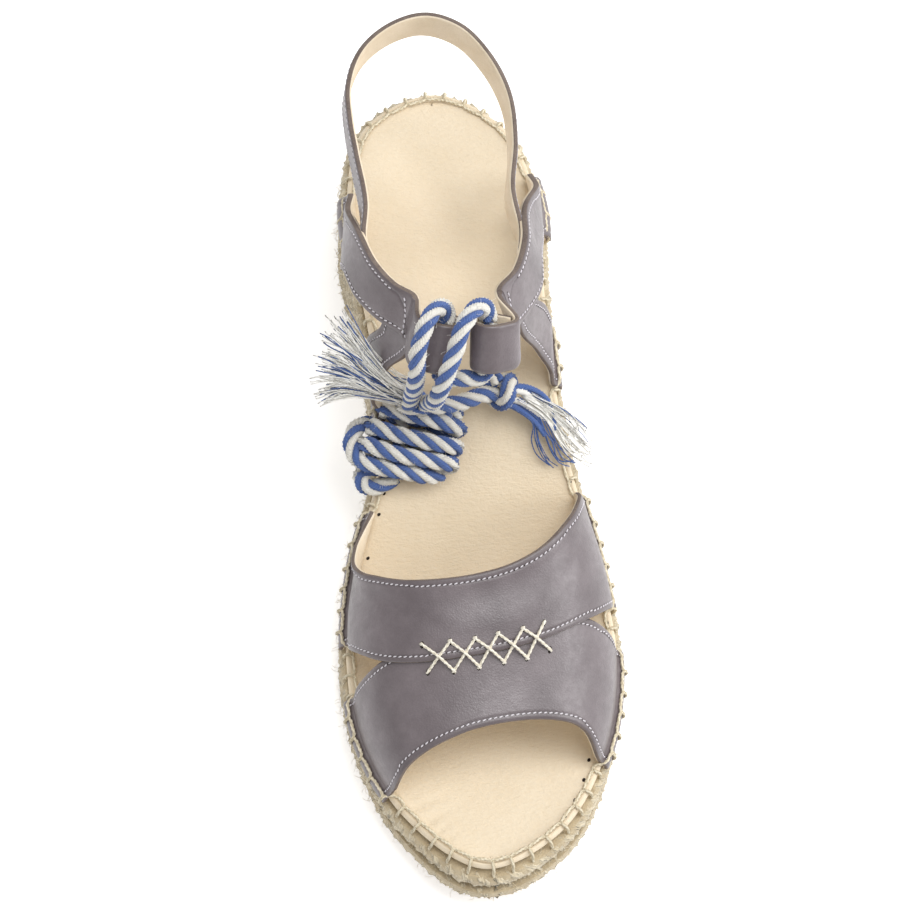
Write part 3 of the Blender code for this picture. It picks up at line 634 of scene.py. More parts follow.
def footbed_cover(looks):
    """The cover as rings round the edge, closed across the top and the underside."""
    turn = np.pi * np.arange(COVER_STATIONS + 1) / COVER_STATIONS
    ys = (HEEL_Y + TOE_Y) / 2 + (HEEL_Y - TOE_Y) / 2 * np.cos(turn)
    heel = (np.array([INNER_EDGE[0, 0], HEEL_Y]), np.array([0.0, 1.0]))
    toe = (np.array([INNER_EDGE[-1, 0], TOE_Y]), np.array([0.0, -1.0]))
    inner = [edge_frame(y, False) for y in ys[1:-1]]
    outer = [edge_frame(y, True) for y in ys[1:-1]]
    ring = [heel, *inner, toe, *outer[::-1]]
    spots = np.array([point for point, _ in ring])
    outs = np.array([out for _, out in ring])
    size = len(ring)
    points = []
    for away, down in COVER_EDGE:
        level = spots + outs * away * MM
        top = bed_height(spots[:, 1]) if away > -1.0 else bed_top(level[:, 0], level[:, 1])
        points.append(np.column_stack([level, top - down * FOOTBED_THICKNESS]))
    points = [np.vstack(points)]
    faces = []
    for k in range(len(COVER_EDGE) - 1):
        for i in range(size):
            j = (i + 1) % size
            faces.append((k * size + i, k * size + j, (k + 1) * size + j, (k + 1) * size + i))
    half = size // 2
    count = len(points[0])
    for base, across, under in ((0, 1, True), ((len(COVER_EDGE) - 1) * size, COVER_COLUMNS, False)):
        rows = [[base]]
        for i in range(1, half):
            a, b = points[0][base + i], points[0][base + size - i]
            u = np.arange(1, across)[:, None] / across
            middle = a + (b - a) * u
            if len(middle):
                middle[:, 2] = bed_top(middle[:, 0], middle[:, 1])
            rows.append([base + i, *range(count, count + len(middle)), base + size - i])
            points.append(middle)
            count += len(middle)
        rows.append([base + half])
        for one, two in zip(rows, rows[1:]):
            if len(one) == 1:
                new = [(one[0], two[c], two[c + 1]) for c in range(len(two) - 1)]
            elif len(two) == 1:
                new = [(one[c], two[0], one[c + 1]) for c in range(len(one) - 1)]
            else:
                new = [(one[c], two[c], two[c + 1], one[c + 1]) for c in range(len(one) - 1)]
            faces += [tuple(reversed(f)) for f in new] if under else new
    points = np.vstack(points)
    top = len(COVER_EDGE) * size - size
    points[top:, 2] -= pucker_depth(points[top:, 0], points[top:, 1])
    corners = np.concatenate([points[list(f), :2] for f in faces]).tolist()
    return mesh_piece("footbed_cover", [(points, faces, corners, 0)], looks)


def grain_effect():
    """The fine pebbled grain of leather: height from 0 in the creases to 1 on the pebbles."""
    inputs = (("Place", "NodeSocketVector", None), ("Pebble", "NodeSocketFloat", 1 * MM))
    group, start, end = effect("leather grain", inputs, ("Height",))
    place = start.outputs["Place"]
    scale = calculate(group, "DIVIDE", 1.0, start.outputs["Pebble"])
    bent = add(group, "ShaderNodeTexNoise", {"Vector": place, "Scale": scale, "Detail": 2.0})
    push = add(group, "ShaderNodeVectorMath",
               {0: bent.outputs["Color"], "Scale": 0.4 * MM}, operation="SCALE")
    moved = add(group, "ShaderNodeVectorMath", {0: place, 1: push.outputs[0]}, operation="ADD").outputs[0]
    pebbles = add(group, "ShaderNodeTexVoronoi", {"Vector": moved, "Scale": scale}, feature="SMOOTH_F1")
    pore_scale = calculate(group, "MULTIPLY", scale, 3.0)
    pores = add(group, "ShaderNodeTexNoise", {"Vector": moved, "Scale": pore_scale, "Detail": 3.0})
    round_tops = inverted(group, pebbles.outputs["Distance"])
    mixed = calculate(group, "MULTIPLY_ADD", pores.outputs["Fac"], 0.5, round_tops)
    group.links.new(calculate(group, "MULTIPLY", mixed, 0.66), end.inputs["Height"])
    return group


GRAIN = grain_effect()


def leather_grain(tree, place, pebble):
    return placed(tree, GRAIN, {"Place": place, "Pebble": pebble})


def cover_leather():
    look, tree, shader = start_material("natural leather", 0.62)
    place = object_place(tree)
    cloud = mottle(tree, place, 38 * MM)
    spots = mottle(tree, place, 1.6 * MM)
    across = add(tree, "ShaderNodeMapping", {"Vector": place, "Scale": (0.5, 1.0, 1.0)})
    wrinkle = mottle(tree, across.outputs[0], 1.0 * MM)
    grain = leather_grain(tree, place, 0.55 * MM)
    base = between(tree, cloud, srgb(219, 204, 178), srgb(228, 214, 190))
    colour = tint(tree, base, spots, 0.2, srgb(222, 200, 164))
    # Darker along the low lines of the wrinkles: painted shade in the wrinkles.
    colour = tint(tree, colour, inverted(tree, wrinkle), 0.12, srgb(206, 180, 140))
    height = calculate(tree, "MULTIPLY_ADD", grain, 0.7, wrinkle)
    finish_material(tree, shader, colour, height, 0.13 * MM)
    return look


COVER = cover_leather()
keep(footbed_cover([COVER]), "footbed_leather", "footbed")


# Vamp
# Two bands of grey-mauve leather over the forefoot, lined in cream and cut raw. Their feet turn out
# over the footbed's edge, and the rear band is lapped over the front one.

INSTEP_HEIGHT = 62 * MM
LEATHER = 2.0 * MM
LAST_INSET = 2.2 * MM
DOME_POWER = 2.3
MOUTH_FLARE = 3.6 * MM
CUT_BULGE = 0.22 * MM
PINKING = 2.1 * MM
TOOTH = 0.6 * MM
EDGE_ROUNDING = 0.35 * MM
SEAM_DEPTH = 0.22 * MM
SEAM_INSET = 2.0 * MM
FAR = 20 * MM
LAP_LIFT = 0.85 * LEATHER
BAND_COLUMNS = 212

# Edges of the two bands, as shares of the footbed's length from the heel.
# Columns: name, place across (-1 inner sole edge, 0 top, 1 outer sole edge),
# rear band's rear edge, rear band's front edge, front band's rear edge, front band's front edge
VAMP_EDGES = (
    ("inner sole", -1.00, 0.532, 0.696, 0.767, 0.897),
    ("inner wall", -0.75, 0.610, 0.719, 0.755, 0.889),
    ("inner notch", -0.50, 0.642, 0.743, 0.738, 0.870),
    ("inner top", -0.25, 0.655, 0.753, 0.727, 0.852),
    ("top", 0.00, 0.654, 0.750, 0.723, 0.837),
    ("outer top", 0.25, 0.632, 0.735, 0.711, 0.834),
    ("outer notch", 0.50, 0.593, 0.711, 0.708, 0.842),
    ("outer wall", 0.75, 0.555, 0.690, 0.719, 0.868),
    ("outer sole", 1.00, 0.530, 0.674, 0.731, 0.877),
)

# The leather's foot, where it turns out over the footbed's edge.
# Columns: distance out from the footbed's edge, height above the footbed, both in footbed thicknesses
MARGIN = (
    (-0.49, 1.00),
    (-0.38, 0.53),
    (-0.16, 0.20),
    (0.13, -0.20),
    (0.19, -0.54),
    (0.22, -0.84),
)

# Soft creases of the two bands, from shares of the band's length forward and its run across.
# Columns: name, band, forward and across at one end, forward and across at the other,
# depth and half width in millimetres
VAMP_CREASES = (
    ("ball fold inner", "rear", 0.20, 0.74, 0.62, 0.60, 0.26, 3.2),
    ("ball fold outer", "rear", 0.25, 0.24, 0.70, 0.36, 0.24, 2.8),
    ("front inner fold", "front", 0.30, 0.78, 0.70, 0.70, 0.22, 2.6),
    ("front outer fold", "front", 0.35, 0.22, 0.75, 0.30, 0.20, 2.6),
)


def last_height(y):
    share = hermite([s[1] for s in SECTIONS], [s[3] for s in SECTIONS], share_along(y))
    return INSTEP_HEIGHT * share


def margin_point(y, outer, row):
    """A point of the leather's foot, where it turns out over the footbed's edge."""
    point, out = edge_frame(y, outer)
    away, up = MARGIN[row]
    spot = point + out * away * FOOTBED_THICKNESS
    return np.array([spot[0], spot[1], bed_height(y) + up * FOOTBED_THICKNESS])


def last_point(y, across, lift=0.0):
    """A point on the last at y; across runs from the inner side (-1) over the top to the outer."""
    angle = across * math.pi / 2
    power = 2 / DOME_POWER
    sideways = math.copysign(abs(math.sin(angle)) ** power, across)
    upwards = abs(math.cos(angle)) ** power
    middle = (edge_x(y, False) + edge_x(y, True)) / 2
    half = (edge_x(y, True) - edge_x(y, False)) / 2 - LAST_INSET + lift
    return np.array([middle + half * sideways, y, bed_height(y) + (last_height(y) + lift) * upwards])


def mouth_flare(across, u):
    """How far the rear band's mouth stands out over the inner side of the ball; u is the share of
    the band's length from its rear edge."""
    bell = math.exp(-(((across + 0.74) / 0.17) ** 2))
    return MOUTH_FLARE * bell * max(0.0, 1 - u / 0.45) ** 2


def band_grid(rear, front, lift_front, flared, rows, columns):
    """The lining of one band between two columns of VAMP_EDGES, its outer side facing out."""
    places = [row[1] for row in VAMP_EDGES]
    feet = len(MARGIN)
    grid = []
    for k in range(rows + 1):
        u = k / rows
        ramp = min(max((u - 0.12) / 0.58, 0.0), 1.0)
        lift = lift_front * ramp * ramp * (3 - 2 * ramp)

        def y_at(across):
            a = place_along(hermite(places, [row[rear] for row in VAMP_EDGES], across))
            b = place_along(hermite(places, [row[front] for row in VAMP_EDGES], across))
            return a + (b - a) * u

        row = [margin_point(y_at(-1.0), False, m) for m in range(feet - 1, -1, -1)]
        for across in np.linspace(-0.84, 0.84, 19):
            middle = math.sin(math.pi / 2 * min(1.0, (1 - abs(across)) * 3.2))
            spot = last_point(y_at(across), across, lift * middle)
            spot[0] -= flared * mouth_flare(across, u)
            row.append(spot)
        row += [margin_point(y_at(1.0), True, m) for m in range(feet)]
        grid.append(smooth_path(row, columns, crowd=0.45)[::-1])
    return np.array(grid)


def run_over(grid, axis):
    """Distance over a grid along one of its two axes, from its first line."""
    steps = np.linalg.norm(np.diff(grid, axis=axis), axis=2)
    start = np.zeros_like(np.take(steps, [0], axis=axis))
    return np.concatenate([start, np.cumsum(steps, axis=axis)], axis=axis)


def grid_normals(grid):
    normals = np.cross(np.gradient(grid, axis=1), np.gradient(grid, axis=0))
    return normals / np.linalg.norm(normals, axis=2)[:, :, None]


def creased(grid, creases):
    """A grid pressed in along soft lines, given in shares of its two runs."""
    down, along = run_over(grid, 0), run_over(grid, 1)
    v, u = down.max(axis=0).mean(), along.max(axis=1).mean()
    spots = np.stack([down / down[-1:] * v, along / along[:, -1:] * u], axis=2)
    sunk = np.zeros(grid.shape[:2])
    for v1, u1, v2, u2, depth, width in creases:
        a, b = np.array([v1 * v, u1 * u]), np.array([v2 * v, u2 * u])
        share = np.clip(((spots - a) @ (b - a)) / ((b - a) @ (b - a)), 0.0, 1.0)
        away = np.linalg.norm(spots - a - share[:, :, None] * (b - a), axis=2) / (width * MM)
        fold = np.exp(-away**2) - 0.35 * np.exp(-((away - 1.9) ** 2))
        sunk += depth * MM * fold * np.sin(np.pi * (0.15 + 0.7 * share))
    return grid - grid_normals(grid) * sunk[:, :, None]


def leather_sheet(name, grid, looks, seam_axis, seam_stop=1.0, raised=None, pinked=()):
    """A lined leather piece from the grid of its lining: outer side, lining and raw cut edge.
    looks are the outer leather, lining, lining's edge and cut edge. seam_axis 1 sinks a seam along
    both sides of the grid's columns, 0 along those of its rows; seam_stop is how far down the rows
    it runs before it crosses over. raised adds thickness to the outer side. pinked names the grid's
    lines, such as "first row", whose edge is cut in teeth."""
    grid = np.asarray(grid, float)
    high, wide = grid.shape[:2]
    normals = grid_normals(grid)
    down, along = run_over(grid, 0), run_over(grid, 1)
    for side in pinked:
        lines = grid if side == "first row" else grid.swapaxes(0, 1)
        rim, inside = (-1, -2) if side == "last column" else (0, 1)
        teeth = TOOTH * (4 * abs((run_along(lines[rim]) / PINKING) % 1.0 - 0.5) - 1)
        out = lines[rim] - lines[inside]
        lines[rim] += out / np.linalg.norm(out, axis=1)[:, None] * teeth[:, None]
    to_ends = np.minimum(down, down[-1:] - down)
    to_sides = np.minimum(along, along[:, -1:] - along)
    edge = np.minimum(to_ends, to_sides)
    seam = abs((to_sides if seam_axis == 1 else to_ends) - SEAM_INSET)
    crossing = np.where(to_sides > SEAM_INSET, abs(down - seam_stop), FAR)
    seam = np.where(down < seam_stop, np.minimum(seam, crossing), np.minimum(FAR, crossing))
    thick = LEATHER - EDGE_ROUNDING * np.exp(-edge / (0.5 * MM))
    thick = thick - SEAM_DEPTH * np.exp(-((seam / (0.45 * MM)) ** 2))
    if raised is not None:
        thick = thick + raised
    outer = grid + normals * thick[:, :, None]
    count = high * wide
    index = np.arange(count).reshape(high, wide)
    quads = np.stack([index[:-1, :-1], index[:-1, 1:], index[1:, 1:], index[1:, :-1]], axis=2)
    quads = quads.reshape(-1, 4)
    border = np.concatenate([index[0, :-1], index[:-1, -1], index[-1, :0:-1], index[:0:-1, 0]])
    out = np.zeros((high, wide, 3))
    out[0] += grid[0] - grid[1]
    out[-1] += grid[-1] - grid[-2]
    out[:, 0] += (grid[:, 0] - grid[:, 1]) * (0.5 if pinked else 1.0)
    out[:, -1] += (grid[:, -1] - grid[:, -2]) * (0.5 if pinked else 1.0)
    out = out.reshape(-1, 3)[border]
    out /= np.linalg.norm(out, axis=1)[:, None]
    low, top = grid.reshape(-1, 3)[border], outer.reshape(-1, 3)[border]
    shares = (0.28, 0.32, 0.55, 0.8)
    bulges = (0.25, 0.85, 1.0, 0.7)
    rings = [low + (top - low) * share + out * CUT_BULGE * bulge for share, bulge in zip(shares, bulges)]
    points = np.vstack([outer.reshape(-1, 3), grid.reshape(-1, 3), *rings])
    n = len(border)
    levels = [border + count, *[np.arange(n) + 2 * count + k * n for k in range(4)], border]
    faces = [quads, quads[:, ::-1] + count]
    look_of = [np.zeros(len(quads), int), np.ones(len(quads), int)]
    for k, (one, two) in enumerate(zip(levels, levels[1:])):
        after = np.roll(np.arange(n), -1)
        faces.append(np.stack([one, one[after], two[after], two], axis=1))
        look_of.append(np.full(n, 2 if k == 0 else 3))
    faces, look_of = np.vstack(faces), np.concatenate(look_of)
    flat = np.stack([along, down], axis=2).reshape(-1, 2)
    flat = np.vstack([flat, flat, *[flat[border]] * 4])
    marks = {
        "edge": np.concatenate([edge.ravel(), edge.ravel(), np.zeros(4 * n)]),
        "seam": np.concatenate([seam.ravel(), np.full(count + 4 * n, FAR)]),
    }
    made = mesh_object(name, points, faces.tolist(), flat[faces.ravel()], looks, look_of, marks)
    return made, outer, normals


def nearness_effect():
    """Where a leather piece is near its raw edge or its seam, from its marks: 1 there, 0 away."""
    inputs = (("Distance", "NodeSocketFloat", 1.0), ("Reach", "NodeSocketFloat", 1 * MM))
    group, start, end = effect("near the edge", inputs, ("Near",))
    place = add(group, "ShaderNodeTexCoord").outputs["Object"]
    rough = add(group, "ShaderNodeTexNoise", {"Vector": place, "Scale": 700.0, "Detail": 3.0})
    reach = calculate(group, "MULTIPLY", start.outputs["Reach"],
                      calculate(group, "MULTIPLY_ADD", rough.outputs["Fac"], 1.4, 0.3))
    near = calculate(group, "DIVIDE", start.outputs["Distance"], reach)
    fade = add(group, "ShaderNodeMapRange",
               {"Value": near, "From Min": 0.0, "From Max": 1.0, "To Min": 1.0, "To Max": 0.0},
               interpolation_type="SMOOTHSTEP")
    group.links.new(fade.outputs["Result"], end.inputs["Near"])
    return group


NEARNESS = nearness_effect()


def near_mark(tree, mark, reach):
    distance = add(tree, "ShaderNodeAttribute", attribute_name=mark).outputs["Fac"]
    return placed(tree, NEARNESS, {"Distance": distance, "Reach": reach})


def upper_leather():
    look, tree, shader = start_material("mauve grey leather", 0.42)
    place = object_place(tree)
    cloud = mottle(tree, place, 15 * MM)
    spots = mottle(tree, place, 2.4 * MM)
    grain = leather_grain(tree, place, 0.5 * MM)
    colour = between(tree, cloud, srgb(90, 80, 83), srgb(124, 114, 117))
    colour = tint(tree, colour, spots, 0.35, srgb(92, 81, 84))
    # Darker in the grain's low creases: painted shade.
    colour = tint(tree, colour, inverted(tree, grain), 0.4, srgb(70, 61, 64))
    # Darker near the raw edges; darker in each seam's sunk groove, which is painted shade.
    colour = tint(tree, colour, near_mark(tree, "edge", 3.2 * MM), 0.45, srgb(78, 67, 68))
    colour = tint(tree, colour, near_mark(tree, "seam", 0.8 * MM), 0.6, srgb(66, 56, 58))
    gloss = calculate(tree, "MULTIPLY_ADD", spots, 0.12, 0.34)
    tree.links.new(gloss, shader.inputs["Roughness"])
    shader.inputs["Specular IOR Level"].default_value = 0.9
    finish_material(tree, shader, colour, grain, 0.08 * MM)
    return look


def lining_leather(name, one, two, roughness):
    look, tree, shader = start_material(name, roughness)
    place = object_place(tree)
    cloud = mottle(tree, place, 9 * MM)
    nap = mottle(tree, place, 0.5 * MM)
    base = between(tree, cloud, one, two)
    colour = tint(tree, base, nap, 0.22, srgb(206, 180, 146))
    finish_material(tree, shader, colour, nap, 0.1 * MM)
    return look


def raw_edge():
    look, tree, shader = start_material("raw leather edge", 0.95)
    place = object_place(tree)
    nap = mottle(tree, place, 0.45 * MM)
    cloud = mottle(tree, place, 5 * MM)
    base = between(tree, cloud, srgb(92, 80, 76), srgb(120, 107, 100))
    finish_material(tree, shader, tint(tree, base, nap, 0.5, srgb(150, 136, 124)), nap, 0.2 * MM)
    return look


UPPER = upper_leather()
LINING = lining_leather("cream lining", srgb(232, 216, 190), srgb(241, 228, 206), 0.7)
SUEDE = lining_leather("tan suede", srgb(230, 214, 188), srgb(240, 226, 204), 0.95)
RAW = raw_edge()
UPPER_LOOKS = [UPPER, LINING, LINING, RAW]


def band_creases(which):
    return [row[2:] for row in VAMP_CREASES if row[1] == which]


def make_band(which, rear, front, lift_front, flared, rows):
    grid = creased(band_grid(rear, front, lift_front, flared, rows, BAND_COLUMNS), band_creases(which))
    feet = ("first column", "last column")
    return leather_sheet("vamp_" + which + "_band", grid, UPPER_LOOKS, 0, pinked=feet)


rear_band, rear_outer, rear_out = make_band("rear", 2, 3, LAP_LIFT, 1.0, 74)
front_band, front_outer, front_out = make_band("front", 4, 5, 0.0, 0.0, 66)
keep(rear_band, "upper_leather", "vamp")
keep(front_band, "upper_leather", "vamp")


# Thread that joins the vamp's bands
# A row of five crosses in thick waxed cream thread, through six punched holes in each band, draws the
# rear band down on the front one.

THREAD = 1.0 * MM
THREAD_TWIST = 3.4 * MM

# Length, width and depth of a hole that takes the thick thread
CROSS_HOLE = (2.5 * MM, 1.35 * MM, 0.5 * MM)

# The punched holes from the inner side outwards, in millimetres.
# Columns: hole in the rear band, hole in the front band
CROSS_HOLES = (
    ((-19.5, -59.3), (-18.2, -67.4)),
    ((-10.7, -59.5), (-10.1, -68.1)),
    ((-2.8, -59.4), (-2.1, -67.6)),
    ((4.6, -58.5), (5.9, -66.7)),
    ((12.6, -57.4), (13.3, -65.9)),
    ((19.5, -55.8), (20.9, -63.6)),
)


def surface_of(pieces):
    """A tree of the faces of some pieces, for finding the surface under a point."""
    points, faces = [], []
    for piece in pieces:
        start = len(points)
        points += [v.co.copy() for v in piece.data.vertices]
        faces += [tuple(v + start for v in side.vertices) for side in piece.data.polygons]
    return BVHTree.FromPolygons(points, faces)


def surface_height(tree, x, y):
    hit = tree.ray_cast(Vector((x, y, 0.2)), Vector((0.0, 0.0, -1.0)))
    return hit[0][2], hit[1]


def taut_over(tree, start, end, clearance, lift):
    """A thread pulled tight over the leather between two holes, its ends going down into them."""
    share = np.linspace(0.0, 1.0, 13)
    path = np.array([[*(start + (end - start) * u), 0.0] for u in share])
    path[:, 2] = [surface_height(tree, x, y)[0] + clearance for x, y, _ in path]
    for _ in range(40):
        path[1:-1, 2] = np.maximum(path[1:-1, 2], (path[:-2, 2] + path[2:, 2]) / 2)
    path[:, 2] += lift * np.sin(np.pi * share)
    inward = (path[-1] - path[0]) / np.linalg.norm(path[-1] - path[0]) * 0.35 * MM
    first, last, down = path[0] - inward, path[-1] + inward, (0, 0, 1.6 * MM)
    path = np.vstack([first - down, first, path[1:-1], last, last - down])
    return smooth_path(path, 34)


def thread_look(name, one, two):
    look, tree, shader = start_material(name, 0.7)
    line = yarn_lines(tree, (900.0, 640.0), 0.2)
    hair = mottle(tree, object_place(tree), 0.35 * MM)
    # Darker in the grooves between the yarn lines, which is painted shade, over a random fine mottle.
    shade = calculate(tree, "MULTIPLY_ADD", hair, 0.25, calculate(tree, "MULTIPLY", line, 0.75))
    finish_material(tree, shader, between(tree, shade, one, two), shade, 0.1 * MM)
    return look


CREAM = thread_look("cream thread", srgb(216, 206, 184), srgb(250, 245, 232))
FLAX = thread_look("flax thread", srgb(192, 178, 148), srgb(234, 224, 200))


def cross_threads():
    tree = surface_of([rear_band, front_band])
    threads = []
    holes = [(np.array(a) * MM, np.array(b) * MM) for a, b in CROSS_HOLES]
    for (upper, lower), (next_upper, next_lower) in zip(holes, holes[1:]):
        for start, end, lift in ((next_upper, lower, 0.0), (upper, next_lower, 0.85 * THREAD)):
            path = taut_over(tree, start, end, 0.42 * THREAD, lift)
            threads.append((*twisted_strand(path, THREAD / 2, 2, 0.16, THREAD_TWIST, 10), 0))
    return mesh_piece("vamp_cross_stitches", threads, [CREAM])


def stitch_tree():
    """One stitch, hole or bead at each point, lying along one direction and facing out another."""
    tree, start = start_tree("row of stitches", "Spots", ("Length", "Width", "Depth"), "Stitches")
    bead = add(tree, "GeometryNodeMeshUVSphere", {"Segments": 8, "Rings": 6, "Radius": 0.5})
    size = add(tree, "ShaderNodeCombineXYZ",
               {"X": start.outputs["Length"], "Y": start.outputs["Width"], "Z": start.outputs["Depth"]})
    stitch = add(tree, "GeometryNodeTransform",
                 {"Geometry": bead.outputs["Mesh"], "Scale": size.outputs[0]})
    along = add(tree, "GeometryNodeInputNamedAttribute", {"Name": "along"}, data_type="FLOAT_VECTOR")
    out = add(tree, "GeometryNodeInputNamedAttribute", {"Name": "out"}, data_type="FLOAT_VECTOR")
    turn = add(tree, "FunctionNodeAxesToRotation",
               {"Primary Axis": out.outputs["Attribute"], "Secondary Axis": along.outputs["Attribute"]},
               primary_axis="Z", secondary_axis="X")
    sewn = add(tree, "GeometryNodeInstanceOnPoints",
               {"Points": start.outputs["Spots"], "Instance": stitch.outputs["Geometry"],
                "Rotation": turn.outputs[0]})
    return end_tree(tree, start, sewn)


STITCHES = stitch_tree()


def stitch_row(name, spots, along, out, size, look):
    """A piece with one stitch at each spot; size is its length, width and depth."""
    mesh = bpy.data.meshes.new(name + "_spots")
    mesh.from_pydata(np.asarray(spots).tolist(), [], [])
    for label, values in (("along", along), ("out", out)):
        marks = mesh.attributes.new(label, "FLOAT_VECTOR", "POINT")
        marks.data.foreach_set("vector", np.asarray(values, float).ravel())
    row = put_in_scene(name + "_spots", mesh)
    length, width, depth = size
    made = grow(row, STITCHES, name, {"Length": length, "Width": width, "Depth": depth, "Look": look})
    bpy.data.objects.remove(row)
    return made


def speckled(name, roughness, dark, light):
    """A finish of fine specks between two colours."""
    look, tree, shader = start_material(name, roughness)
    tone = mottle(tree, object_place(tree), 0.6 * MM)
    finish_material(tree, shader, between(tree, tone, dark, light), tone, 0.1 * MM)
    return look


HOLE = speckled("shade in a punched hole", 1.0, srgb(24, 17, 14), srgb(46, 35, 30))


def cross_holes():
    tree = surface_of([rear_band, front_band])
    spots, out = [], []
    for pair in CROSS_HOLES:
        for x, y in pair:
            height, normal = surface_height(tree, x * MM, y * MM)
            spots.append((x * MM, y * MM, height))
            out.append(normal)
    along = [(0.25, 1.0, 0.0)] * len(spots)
    return stitch_row("vamp_cross_holes", spots, along, out, CROSS_HOLE, HOLE)


keep(cross_threads(), "upper_leather")
keep(cross_holes(), "upper_leather")


# Machine stitching of the vamp
# One row of fine pale stitches runs in a shallow groove beside each cut edge of the two bands, from
# foot to foot; the part of the front band's rear row that lies under the rear band is left out.

BAND_STITCH = 1.8 * MM
FOOT_START = 6 * MM
PAST_ANY_SIDE = 1.0

# Length, width and depth of a stitch and of the needle's hole at its end
MACHINE_STITCH = (1.35 * MM, 0.48 * MM, 0.42 * MM)
NEEDLE_HOLE = (0.5 * MM, 0.42 * MM, 0.16 * MM)


def seam_line(outer, normals, axis, last, start, end):
    """A seam's line beside one side of the leather, with the directions out of the leather: start
    and end are distances along the side from its beginning."""
    if axis == 0:
        outer, normals = outer.swapaxes(0, 1), normals.swapaxes(0, 1)
    if last:
        outer, normals = outer[:, ::-1], normals[:, ::-1]
    across = run_over(outer, 1)
    k = np.argmin(abs(across - SEAM_INSET), axis=1)
    lines = np.arange(len(outer))
    spots, out = outer[lines, k], normals[lines, k]
    run = run_along(spots)
    wanted = np.arange(start, min(end, run[-1] - start), BAND_STITCH)
    path = np.stack([np.interp(wanted, run, spots[:, i]) for i in range(3)], axis=1)
    out = np.stack([np.interp(wanted, run, out[:, i]) for i in range(3)], axis=1)
    return path, out / np.linalg.norm(out, axis=1)[:, None]


MACHINE = speckled("machine thread", 0.6, srgb(190, 184, 190), srgb(232, 228, 232))


def sew(name, lines):
    """Machine stitches along some lines, a little aslant, with a hole at each of their ends."""
    spots, along, out, holes = [], [], [], []
    for path, normals in lines:
        step = np.gradient(path, axis=0)
        step /= np.linalg.norm(step, axis=1)[:, None]
        aslant = step + 0.28 * np.cross(normals, step)
        aslant /= np.linalg.norm(aslant, axis=1)[:, None]
        spots.append(path + normals * 0.1 * MM)
        along.append(aslant)
        out.append(normals)
        holes.append(path + aslant * 0.75 * MM)
    spots, along, out = np.vstack(spots), np.vstack(along), np.vstack(out)
    keep(stitch_row(name + "_stitches", spots, along, out, MACHINE_STITCH, MACHINE), "upper_leather")
    keep(stitch_row(name + "_holes", np.vstack(holes), along, out, NEEDLE_HOLE, HOLE), "upper_leather")


def both_sides(top, normals, axis, start, end=PAST_ANY_SIDE):
    """The seams along both sides of a leather piece."""
    return [seam_line(top, normals, axis, last, start, end) for last in (False, True)]


def open_to_view(line, covers):
    """The spots of a seam that no piece of the covers lies over."""
    seen = []
    for spot, out in zip(*line):
        seen.append(covers.ray_cast(Vector(spot + out * 0.4 * MM), Vector(out), 8 * MM)[0] is None)
    return line[0][seen], line[1][seen]


rear_rows = both_sides(rear_outer, rear_out, 0, FOOT_START)
front_rows = both_sides(front_outer, front_out, 0, FOOT_START)
front_rows[0] = open_to_view(front_rows[0], surface_of([rear_band]))
sew("vamp", [*rear_rows, *front_rows])


# Quarters
# On each side a strap rises from the sole to the instep, where it ends over a loop of the same leather
# that the lace runs through. A short leg is sewn under the strap. All are lined, cut raw and stitched.

TUNNEL_RADIUS = 3.7 * MM
LEG_SEAM_START = 7 * MM
STRAP_COLUMNS = 44
STRAP_ROWS = 250
LEG_COLUMNS = 40
LEG_ROWS = 100

# How the strap's end lies over its tunnel: its step up, and how far past the last rung it reaches
END_STEP = 0.75 * MM
END_REACH = 1.6 * MM

# Straps as rungs from the sole to the instep. Columns: name, then for the rear or upper edge and for
# the front or lower edge: share of length, share of ball width, height above the footbed as a share
# of the instep height
INNER_STRAP = (
    ("leg low", (0.170, -0.338, 0.24), (0.252, -0.368, 0.24)),
    ("corner", (0.245, -0.315, 0.65), (0.277, -0.372, 0.47)),
    ("instep rear", (0.289, -0.275, 0.75), (0.314, -0.344, 0.57)),
    ("instep", (0.320, -0.218, 0.82), (0.348, -0.281, 0.67)),
    ("instep front", (0.343, -0.149, 0.89), (0.378, -0.195, 0.76)),
)
INNER_STRAP_FOOT = (0.138, 0.225)
INNER_LEG = (
    ("leg low", (0.353, -0.318, 0.22), (0.415, -0.308, 0.22)),
    ("leg middle", (0.350, -0.312, 0.42), (0.396, -0.262, 0.48)),
)
INNER_LEG_FOOT = (0.355, 0.425)
INNER_LEG_TOP = (0.55, 0.68)
OUTER_STRAP = (
    ("leg low", (0.158, 0.330, 0.24), (0.235, 0.326, 0.24)),
    ("corner", (0.229, 0.252, 0.60), (0.273, 0.308, 0.41)),
    ("instep rear", (0.269, 0.240, 0.70), (0.314, 0.292, 0.50)),
    ("instep", (0.312, 0.195, 0.79), (0.352, 0.230, 0.64)),
    ("instep front", (0.345, 0.122, 0.88), (0.383, 0.178, 0.77)),
)
OUTER_STRAP_FOOT = (0.130, 0.208)
OUTER_LEG = (
    ("leg low", (0.328, 0.342, 0.16), (0.390, 0.340, 0.12)),
    ("leg middle", (0.322, 0.318, 0.34), (0.375, 0.290, 0.28)),
)
OUTER_LEG_FOOT = (0.325, 0.397)
OUTER_LEG_TOP = (0.45, 0.57)
LAP_EDGE = 0.98
LAP_END = 0.45

# The tunnels' axes. Columns: name, upper mouth and lower mouth, each as share of length, share of
# ball width and height above the footbed as a share of the instep height
TUNNELS = (
    ("inner", (0.378, -0.057, 0.95), (0.424, -0.095, 0.84)),
    ("outer", (0.383, 0.088, 0.965), (0.429, 0.078, 0.86)),
)

